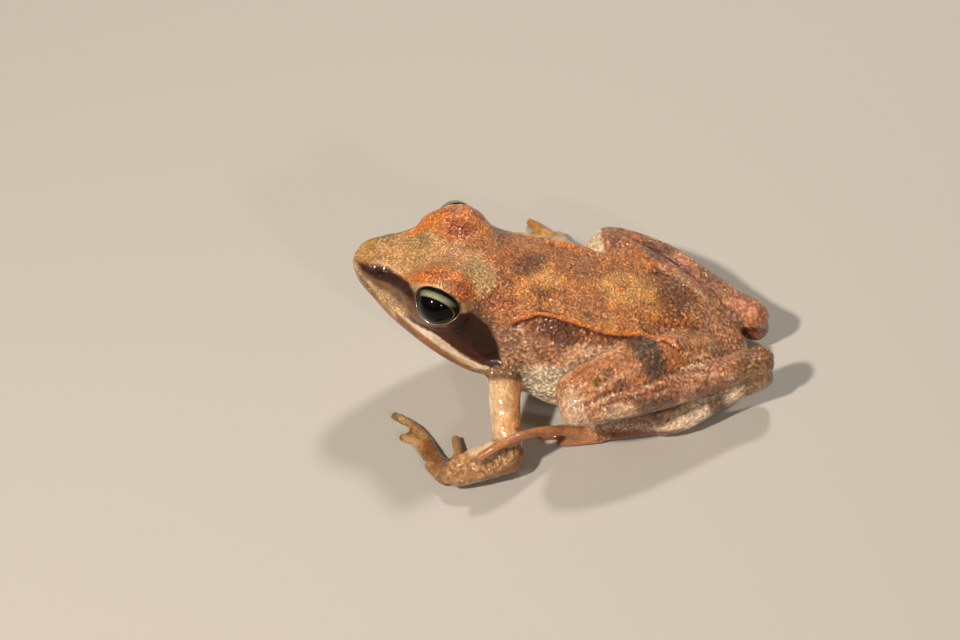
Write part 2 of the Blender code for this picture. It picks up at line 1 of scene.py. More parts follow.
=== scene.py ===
# Wood frog, a life-size still model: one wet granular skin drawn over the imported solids, with the eyes set in.
import json
import math

import bpy
import numpy as np
from mathutils import Euler, Matrix, Vector, noise
from mathutils.bvhtree import BVHTree

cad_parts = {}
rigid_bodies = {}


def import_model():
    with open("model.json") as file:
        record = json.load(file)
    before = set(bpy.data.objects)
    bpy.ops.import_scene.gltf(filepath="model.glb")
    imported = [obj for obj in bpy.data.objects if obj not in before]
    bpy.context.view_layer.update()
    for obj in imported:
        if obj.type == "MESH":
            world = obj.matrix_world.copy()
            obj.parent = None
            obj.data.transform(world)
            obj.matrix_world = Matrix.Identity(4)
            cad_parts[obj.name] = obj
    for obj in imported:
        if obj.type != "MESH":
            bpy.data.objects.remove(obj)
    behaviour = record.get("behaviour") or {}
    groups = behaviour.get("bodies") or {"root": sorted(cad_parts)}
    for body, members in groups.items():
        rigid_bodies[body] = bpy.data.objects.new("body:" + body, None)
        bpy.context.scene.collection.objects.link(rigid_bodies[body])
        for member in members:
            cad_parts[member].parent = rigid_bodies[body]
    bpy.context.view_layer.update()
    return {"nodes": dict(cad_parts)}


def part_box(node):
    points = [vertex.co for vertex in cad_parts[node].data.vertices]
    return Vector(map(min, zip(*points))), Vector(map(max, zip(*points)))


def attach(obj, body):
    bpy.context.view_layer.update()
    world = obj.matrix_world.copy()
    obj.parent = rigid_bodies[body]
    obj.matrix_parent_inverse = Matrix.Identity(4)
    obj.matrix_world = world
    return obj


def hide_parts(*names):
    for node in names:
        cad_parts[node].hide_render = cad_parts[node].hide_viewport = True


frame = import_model()
mm = 0.001


def selectOnly(*pieces):
    bpy.ops.object.select_all(action="DESELECT")
    for piece in pieces:
        piece.select_set(True)
        bpy.context.view_layer.objects.active = pieces[0]


def setMode(mode):
    bpy.ops.object.mode_set(mode=mode)


# names what was just made, and gives it back
def nameAs(name):
    bpy.context.object.name = bpy.context.object.data.name = name
    return bpy.context.object


def hexToLinear(text):
    parts = [int(text[i:i + 2], 16) / 255 for i in (0, 2, 4)]
    return tuple(c / 12.92 if c <= 0.04045 else ((c + 0.055) / 1.055) ** 2.4 for c in parts) + (1.0,)


def applyModifier(piece, kind, **settings):
    selectOnly(piece)
    step = piece.modifiers.new(kind.lower(), kind)
    for key, value in settings.items():
        setattr(step, key, value)
    bpy.ops.object.modifier_apply(modifier=step.name)


# Places below are given in millimetres from a point under the midline, just ahead of the snout.
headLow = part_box("head")[0]
eyeLow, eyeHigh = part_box("eye_right")[0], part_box("eye_left")[1]
home = Vector(((eyeLow.x + eyeHigh.x) / 2, headLow.y - 1.25 * mm, 0))

# The camera sees the frog from its left, above: place in mm, turn in degrees, lens in mm.
view = {"at": (243.69, 80.20, 256.34), "turn": (45.0033, 6.9281, 98.2607), "lens": 120.75, "sensor": 36}

body = {
    "voxel": 0.29,  # mm
    "fill": 0.22,  # how far the solids are swollen and drawn in again, which closes the cuts between them
    "smoothPasses": 4,
    "headEnds": 18.2,  # y; the sides of the head ahead of it get a mesh twice as fine
    "nearFold": 0.8,  # and so does the skin this near to the folds along the back
    "headHalf": 8.6,
    "crownHalf": 2.4,  # the smooth middle of the crown is left as it is
    "belowMouth": 1.5,
}

eye = {
    "centre": (4.6, 12.2, 15.7),
    "ball": 3.1,
    "corneaRise": 1.2,
    "corneaHalf": 62,  # degrees from the middle of the opening to where the rise ends
    "opensTo": (0.871, -0.211, 0.418),
    "longWay": (0.17, -0.92, 0.35),
    "looksTo": (0.905, -0.235, 0.355),
    "halfLong": 1.214,  # tangents of the opening's half angles
    "halfShort": 0.664,
}

# The line of the mouth and of the fold along the back, as y and then the place on the side.
mouthLine = [(0.6, 0, 16.25), (1.5, 0.9, 15.95), (2.1, 1.9, 15.6), (3.4, 3.0, 14.8), (5.4, 4.15, 13.6),
             (8.0, 5.4, 11.9), (10.5, 6.35, 10.15), (13.0, 6.95, 8.6), (16.0, 7.35, 7.3), (18.0, 7.5, 6.95)]
foldLine = [(18.9, 6.7, 13.6), (19.5, 6.5, 13.9), (20.2, 6.2, 14.2), (21.1, 6.0, 14.3), (22.3, 5.6, 14.5),
            (23.0, 5.5, 14.3), (24.1, 5.5, 14.0), (25.2, 5.6, 13.5), (26.1, 5.5, 13.1), (27.1, 5.5, 12.7),
            (28.3, 5.5, 12.1), (29.3, 5.6, 11.8), (30.8, 5.5, 11.4), (32.4, 5.2, 11.3), (33.4, 5.0, 11.0),
            (34.5, 5.1, 10.7), (35.6, 5.2, 10.6), (36.4, 5.3, 10.3), (37.0, 5.9, 10.0), (38.2, 6.4, 9.5)]
foldPath = [(side, y, z) for y, side, z in foldLine]

# The solids that the skin is drawn over, both sides alike; the first three are the trunk.
regions = ["head", "lower_jaw", "torso", "upper_arm", "forearm", "hand", "thigh", "shank", "tarsus", "foot"]


def isOn(kind, *names):
    return np.isin(kind, [regions.index(name) for name in names])


# signs that turn what lies on the right over to the left, where the lists of places are
def toLeft(points):
    return np.where(points[:, :1] < 0, (-1, 1, 1), (1, 1, 1))


def eyeAxes():
    out = Vector(eye["opensTo"]).normalized()
    longWay = Vector(eye["longWay"])
    longWay = (longWay - out * longWay.dot(out)).normalized()
    up = longWay.cross(out)
    if up.z < 0:
        up = -up
    return out, longWay, up


# how far the eye's surface lies from its centre, at a lean in degrees from the opening's middle
def ballReach(lean):
    share = np.clip(1 - lean / eye["corneaHalf"], 0, 1)
    return eye["ball"] + eye["corneaRise"] * (3 * share**2 - 2 * share**3)


def smoothStep(low, high, values):
    t = np.clip((values - low) / (high - low), 0, 1)
    return t * t * (3 - 2 * t)


def bell(values, middle, half):
    return np.exp(-(((values - middle) / half) ** 2))


def follow(line, y, column):
    return np.interp(y, [row[0] for row in line], [row[column] for row in line])


# distance of each point to a line through places, and how far along it the nearest place is
def nearLine(points, line):
    best = np.full(len(points), 1e9)
    along = np.zeros(len(points))
    line = np.array(line, float)
    for i in range(len(line) - 1):
        a, b = line[i], line[i + 1]
        t = np.clip(((points - a) @ (b - a)) / ((b - a) @ (b - a)), 0, 1)
        d = np.linalg.norm(points - (a + t[:, None] * (b - a)), axis=1)
        closer = d < best
        best[closer] = d[closer]
        along[closer] = (i + t[closer]) / (len(line) - 1)
    return best, along


# signed distance in the picture to a closed outline: below zero inside
def insideOutline(u, v, outline):
    points = np.stack([u, v], axis=1)
    best = np.full(len(points), 1e9)
    inside = np.zeros(len(points), bool)
    count = len(outline)
    for i in range(count):
        a, b = np.array(outline[i], float), np.array(outline[(i + 1) % count], float)
        t = np.clip(((points - a) @ (b - a)) / ((b - a) @ (b - a)), 0, 1)
        best = np.minimum(best, np.linalg.norm(points - (a + t[:, None] * (b - a)), axis=1))
        crosses = (a[1] > v) != (b[1] > v)
        with np.errstate(divide="ignore", invalid="ignore"):
            at = (b[0] - a[0]) * (v - a[1]) / (b[1] - a[1]) + a[0]
        inside ^= crosses & (u < at)
    return np.where(inside, -best, best)


# where points show in the camera's picture, in 960ths of its width, and how far each faces it
def seenFrom(points, normals):
    turn = np.array(Euler([math.radians(a) for a in view["turn"]]).to_matrix())
    away = points - np.array(view["at"])
    local = away @ turn
    scale = view["lens"] / view["sensor"] * 960 / -local[:, 2]
    toward = -away / np.linalg.norm(away, axis=1)[:, None]
    return 480 + local[:, 0] * scale, 320 - local[:, 1] * scale, np.einsum("ij,ij->i", normals, toward)


# smooth noise of about -1 to 1, with patches of the given size in mm
def cloud(points, size, shift=0.0):
    return np.array([noise.noise(Vector(p) / size + Vector((shift, 7.3, 2.1))) for p in points])


# rounded bumps of 0 to 1, one for each cell of the given size in mm
def pebbles(points, size, shift=0.0):
    out = np.empty(len(points))
    for i, p in enumerate(points):
        near = noise.voronoi(Vector(p) / size + Vector((shift, 3.7, 9.1)), distance_metric="DISTANCE")[0]
        out[i] = min(1.0, (near[1] - near[0]) * 1.6)
    return out


shoulderFold = {"at": (7.6, 17.8, 8.15), "half": (1.9, 2.4, 1.1)}


# copies of all flesh solids, joined and swollen until their cuts close, then drawn in again
def buildSkin():
    copies, names = [], []
    for name, node in frame["nodes"].items():
        if name.startswith("eye"):
            continue
        copy = bpy.data.objects.new("skin", node.data.copy())
        bpy.context.collection.objects.link(copy)
        copies.append(copy)
        names += [name] * len(copy.data.polygons)
    selectOnly(*copies)
    bpy.ops.object.join()
    skin = nameAs("skin")
    skin.data.materials.clear()
    tree = BVHTree.FromPolygons([v.co.copy() for v in skin.data.vertices],
                                [tuple(p.vertices) for p in skin.data.polygons])
    # a soft fold of skin over the top of each arm
    pads = []
    for sign in (1, -1):
        x, y, z = shoulderFold["at"]
        bpy.ops.mesh.primitive_uv_sphere_add(segments=32, ring_count=20, radius=mm, scale=shoulderFold["half"],
                                             location=home + Vector((x * sign, y, z)) * mm)
        pads.append(bpy.context.object)
    selectOnly(skin, *pads)
    bpy.ops.object.join()
    setMode("EDIT")
    bpy.ops.mesh.select_all(action="SELECT")
    bpy.ops.mesh.remove_doubles(threshold=0.001 * mm)
    setMode("OBJECT")
    for way in (1, -1):
        applyModifier(skin, "REMESH", mode="VOXEL", voxel_size=body["voxel"] * mm)
        applyModifier(skin, "DISPLACE", strength=way * body["fill"] * mm, mid_level=0.0)
    # bubbles left inside are taken out: all that isn't joined to the tip of the snout
    tip = min(skin.data.vertices, key=lambda vertex: vertex.co.y).index
    setMode("EDIT")
    bpy.ops.mesh.select_all(action="DESELECT")
    bpy.ops.mesh.select_mode(type="VERT")
    setMode("OBJECT")
    skin.data.vertices[tip].select = True
    setMode("EDIT")
    bpy.ops.mesh.select_linked()
    bpy.ops.mesh.select_all(action="INVERT")
    bpy.ops.mesh.delete(type="VERT")
    setMode("OBJECT")
    return skin, tree, names


# one row of numbers for each vertex or edge
def readRows(items, key, width, kind=float):
    flat = np.empty(len(items) * width, kind)
    items.foreach_get(key, flat)
    return flat.reshape(-1, width)


def readPoints(skin):
    return (readRows(skin.data.vertices, "co", 3) - np.array(home)) / mm


def writePoints(skin, points):
    skin.data.vertices.foreach_set("co", (points * mm + np.array(home)).ravel())
    skin.data.update()


def readNormals(skin):
    return readRows(skin.data.vertex_normals, "vector", 3)


def readEdges(skin):
    return readRows(skin.data.edges, "vertices", 2, int)


# mean of each point's neighbours
def spread(points, edges):
    total = np.zeros_like(points)
    count = np.zeros(len(points))
    for a, b in ((0, 1), (1, 0)):
        np.add.at(total, edges[:, a], points[edges[:, b]])
        np.add.at(count, edges[:, a], 1)
    return total / np.maximum(count, 1)[:, None]


# smooths without shrinking: each pass in is followed by one out
def relax(points, edges, passes):
    for _ in range(passes):
        points = points + 0.5 * (spread(points, edges) - points)
        points = points - 0.52 * (spread(points, edges) - points)
    return points


# splits the faces of the head and along the folds once, for the lids, lips and fold edges
def refineSkin(skin):
    points = readPoints(skin)
    x, y, z = points.T
    fine = (y < body["headEnds"]) & (np.abs(x) < body["headHalf"]) & (np.abs(x) > body["crownHalf"])
    fine &= z > follow(mouthLine, y, 2) - body["belowMouth"]
    fine |= nearLine(points * toLeft(points), foldPath)[0] < body["nearFold"]
    selectOnly(skin)
    setMode("EDIT")
    bpy.ops.mesh.select_all(action="DESELECT")
    setMode("OBJECT")
    chosen = [all(fine[i] for i in face.vertices) for face in skin.data.polygons]
    skin.data.polygons.foreach_set("select", chosen)
    setMode("EDIT")
    bpy.ops.mesh.select_mode(type="FACE")
    bpy.ops.mesh.subdivide(number_cuts=1, smoothness=0.0)
    setMode("OBJECT")


# distance from the ball's centre, place against the lids' edge (1 on it), lean, and the way out
def eyeMeasures(points, sign):
    out, longWay, up = eyeAxes()
    flip = np.array((sign, 1, 1))
    away = points * flip - np.array(eye["centre"])
    reach = np.linalg.norm(away, axis=1)
    forward = away @ np.array(out)
    u = away @ np.array(longWay) / np.maximum(forward, 0.2)
    v = away @ np.array(up) / np.maximum(forward, 0.2)
    edge = np.sqrt((u / eye["halfLong"]) ** 2 + (v / eye["halfShort"]) ** 2)
    edge = np.where(forward <= 0.2, 9.0, edge)
    lean = np.degrees(np.arccos(np.clip(forward / np.maximum(reach, 0.01), -1, 1)))
    return reach, edge, lean, v, away


canthusLine = [(1.5, 2.5, 17.7), (1.9, 3.5, 17.9), (2.1, 4.5, 18.0), (2.5, 5.8, 18.0), (3.2, 6.9, 17.9),
               (4.0, 7.9, 17.8), (5.0, 8.8, 17.9)]


relief = {  # how far the forms stand out of the skin or lie in it, in mm
    "mouthGroove": 0.2, "upperLip": 0.09, "lowerLip": 0.05, "jawCushion": 0.34, "nostril": 0.34, "nostrilEdge": 0.1,
    "canthus": 0.12, "lore": 0.16, "drumRing": 0.02, "drum": 0.03, "drumFold": 0.1, "gland": 0.16,
    "fold": 0.34, "besideFold": 0.2, "backLumps": 0.06, "backGrain": 0.05, "flankLumps": 0.06, "flankPebbles": 0.11,
    "legLumps": 0.04, "legPebbles": 0.05, "legWrinkles": 0.09, "armLumps": 0.04, "armPebbles": 0.09,
}


# lips, nostrils, eardrums and the ridge from nostril to eye, as moves along the normals
def sculptHead(points):
    x, y, z = points.T
    sided = points * toLeft(points)
    head = smoothStep(18.6, 17.2, y) * (z > 3.5) * (np.abs(x) < 8.4)
    # mouth groove under a soft upper lip
    below = (z - follow(mouthLine, y, 2)) * 0.83
    lips = (relief["upperLip"] * bell(below, 0.4, 0.25) + relief["lowerLip"] * bell(below, -0.38, 0.22)
            - relief["mouthGroove"] * bell(below, 0, 0.13))
    push = head * smoothStep(17.4, 15.8, y) * lips
    push += head * relief["jawCushion"] * bell(below, -1.0, 0.7) * smoothStep(3.0, 6.0, y) * smoothStep(16.5, 14.0, y)
    away = np.linalg.norm(sided - np.array((2.85, 5.0, 17.35)), axis=1)
    push += relief["nostrilEdge"] * bell(away, 0.5, 0.2) - relief["nostril"] * bell(away, 0, 0.24)
    # ridge over a shallow hollow, between nostril and eye
    push += relief["canthus"] * bell(nearLine(sided, canthusLine)[0], 0, 0.35)
    push -= relief["lore"] * bell(nearLine(sided, [(3.2, 4.6, 16.9), (3.9, 6.4, 16.5), (4.7, 7.6, 15.6)])[0], 0, 0.8)
    drum = np.linalg.norm(sided - np.array((7.15, 16.2, 11.3)), axis=1)
    push += head * (relief["drumRing"] * bell(drum, 1.3, 0.25) - relief["drum"] * smoothStep(1.3, 0.9, drum))
    # edge of skin over the eardrum, and the gland behind the jaw corner
    over, _ = nearLine(sided, [(6.8, 15.7, 15.0), (7.0, 16.9, 13.6), (7.3, 17.7, 11.6), (7.6, 18.1, 9.6)])
    push += relief["drumFold"] * bell(over, 0.3, 0.3)
    gland, _ = nearLine(sided, [(7.4, 15.4, 8.2), (7.6, 17.0, 7.6), (7.7, 18.6, 7.7)])
    return push + relief["gland"] * bell(gland, 0, 0.45)


# draws the skin round each eye in until it lies on the ball, thin at the front and below
def drawLids(points):
    for sign in (1, -1):
        reach, edge, lean, v, away = eyeMeasures(points, sign)
        upper = smoothStep(-0.2, 0.35, v)
        rest = ballReach(lean) + 0.1 + 0.16 * upper
        width = 1.75 - 0.35 * upper
        hold = smoothStep(width, 1.04, edge) * (edge < 8) * (reach > 2.2)
        pull = np.clip(rest - reach, -1.2, 0.25) * hold
        way = away / np.maximum(reach, 0.01)[:, None] * np.array((sign, 1, 1))
        points = points + way * pull[:, None]
    return points


# Where limbs grow out of the body: place, reach, passes of smoothing.
limbRoots = [((8.6, 18.0, 7.8), 1.6, 8), ((5.2, 35.5, 9.4), 3.0, 22), ((4.5, 38.5, 6.0), 3.0, 22)]


# smooths the creases round the limbs' roots, so that they grow out of the body
def blendRoots(points, edges):
    sided = points * toLeft(points)
    for place, reach, passes in limbRoots:
        hold = bell(np.linalg.norm(sided - np.array(place), axis=1), 0, reach)[:, None]
        for _ in range(passes):
            points = points + 0.6 * hold * (spread(points, edges) - points)
    return points


# wrinkles that run along thigh and shank, from -1 to 1: noise drawn out five times as long as it is wide
def legStreaks(points, kind):
    sided = points * toLeft(points)
    streaks = np.zeros(len(points))
    for names, way in ((("thigh",), (0.65, -0.76, 0.0)), (("shank", "tarsus"), (-0.36, 0.92, -0.14))):
        way = np.array(way)
        drawn = sided - 0.8 * (sided @ way)[:, None] * way
        noisy = cloud(drawn, 0.75, 12.0) + 0.5 * cloud(drawn, 0.4, 14.0)
        streaks = np.where(isOn(kind, *names), noisy, streaks)
    return streaks


# folds along the back, grains of flank and thighs, and the creases of the legs
def sculptBody(points, groups):
    x, y, z = points.T
    sided = points * toLeft(points)
    fold, along = nearLine(sided, foldPath)
    beads = 0.8 + 0.4 * cloud(points, 0.8, 4.0)
    rise = smoothStep(0.0, 0.1, along) * smoothStep(1.0, 0.9, along) * (z > 7) * np.where(x < 0, 0.85, 1.0)
    push = rise * beads * relief["fold"] * bell(fold, 0, 0.27)
    push -= rise * relief["besideFold"] * bell(fold, 0.55, 0.28) * (z < follow(foldLine, y, 2))
    pebble, lump = pebbles(points, 0.62, 5.0) - 0.5, cloud(points, 1.3)
    leg = groups["leg"]
    push += groups["back"] * (relief["backLumps"] * lump + relief["backGrain"] * cloud(points, 0.65, 9.0))
    push += groups["flank"] * (relief["flankLumps"] * lump + relief["flankPebbles"] * pebble)
    push += leg * (relief["legLumps"] * lump + relief["legPebbles"] * pebble)
    push += leg * relief["legWrinkles"] * legStreaks(points, groups["kind"])
    push += groups["arm"] * (relief["armLumps"] * lump + relief["armPebbles"] * (pebbles(points, 0.55, 3.0) - 0.5))
    for line, depth in legCreases:
        crease, _ = nearLine(sided, line)
        push += leg * depth * (0.4 * bell(crease, 0.55, 0.25) - bell(crease, 0, 0.24))
    return push


legCreases = [  # the long creases of thigh and shank, and their depths in mm
    ([(12.6, 29.1, 10.3), (11.6, 30.4, 10.6), (10.6, 31.9, 10.7), (9.3, 33.3, 10.9)], 0.05),
    ([(13.6, 29.7, 8.9), (12.7, 32.0, 9.0), (11.7, 34.0, 8.8), (10.5, 36.1, 8.6), (9.1, 37.4, 8.5)], 0.16),
    ([(13.2, 31.4, 8.3), (11.9, 34.4, 7.9), (10.3, 37.4, 7.6)], 0.14),
    ([(11.9, 35.8, 7.0), (9.8, 39.5, 6.6), (7.8, 43.0, 6.4)], 0.1),
]


# weights of 0 to 1 for the regions of the frog, by the solid that each point lies on
def findGroups(points, normals, tree, names):
    kindOf = {name: next(k for k, word in enumerate(regions) if name.startswith(word)) for name in set(names)}
    kind = np.zeros(len(points), int)
    for i, p in enumerate(points):
        kind[i] = kindOf[names[tree.find_nearest(Vector(p) * mm + home)[2]]]
    x, y, z = points.T
    trunk = isOn(kind, "head", "lower_jaw", "torso").astype(float)
    lateral = smoothStep(-0.1, 0.3, follow(foldLine, y, 2) - z) * smoothStep(15.5, 17.5, y)
    under = smoothStep(-0.35, -0.85, normals[:, 2])
    return {
        "kind": kind,
        "trunk": trunk,
        "back": trunk * (1 - lateral) * (1 - under) * smoothStep(14.0, 19.0, y),
        "flank": trunk * lateral * (1 - under) * smoothStep(16.5, 19.0, y),
        "belly": trunk * under,
        "lateral": lateral * trunk,
        "under": under,
        "arm": isOn(kind, "upper_arm", "forearm", "hand").astype(float),
        "leg": isOn(kind, "thigh", "shank", "tarsus").astype(float),
    }


skinColours = {
    # the rim colour is a painted highlight along the wet ridge from nostril to eye
    "snout": "c49c5e", "crown": "c89c70", "crownOlive": "a48f5c", "crownWarm": "cc9864", "rim": "dcc3a4",
    "lid": "dc8434", "lidDark": "963a0c", "lidPink": "c88a60", "lidTan": "967044", "lidEdge": "b3a48c",
    "lidStrip": "d9ad8c",
    "back": "c9803e", "backDark": "7a4822", "backLight": "d8a058", "backRust": "b66428", "fold": "e0822f",
    "foldShade": "6a220a", "underFold": "6a3612", "flank": "c08a6c", "flankMauve": "c0947e", "flankRed": "a3684a",
    "flankPale": "f0c6ae", "flankLow": "eee6da", "belly": "b8a688", "bellyEdge": "805245", "shoulder": "8a6a48",
    "mask": "240f07", "maskFront": "48200b", "canthus": "32150a", "canthusLow": "70503a", "nostril": "1d0e06",
    "lore": "cfae8c", "lip": "eadbd0", "lipFront": "dac0a0", "jaw": "80502c", "jawFront": "8d6c48",
    "throat": "866543", "throatPale": "c9c0a4",
    # the arm's pale side colour is painted light on the side of the upper arm that faces the light
    "upperArm": "e8c6a6", "armEdge": "dc954e", "armLitSide": "f0dcc8", "elbow": "dac6b4", "forearm": "bb9068",
    "amber": "864a14", "hand": "98714a", "handRed": "8a5230", "fingerCream": "c4a277", "fingerTip": "7f6f38",
    "thigh": "c4885e", "thighFront": "bd7c54", "thighBar": "5e463a", "olive": "745820", "thighRust": "c87a40",
    # the tarsus colour is partly painted light: paler than its own, to lift the strip out of the shade it lies in
    "shank": "bc8262", "shankDark": "5a3220", "shankPale": "ecd0bc", "tarsus": "fbe6da", "tarsusBar": "6c3e24",
    # the crease colour is painted shade in creases, and the dark red under the feet is partly painted shade
    "crease": "8e5034", "redShadeUnder": "6e1c0c", "heel": "8f683e", "foot": "a87a60", "toe": "b07a56",
    "toeRed": "a0563a", "farKnee": "e8dccb", "farShank": "c08060", "farGrey": "76523c", "farOlive": "8a5f34",
    "farCream": "bf9c7c", "farFinger": "b0733a", "farWrist": "e2be84",
}

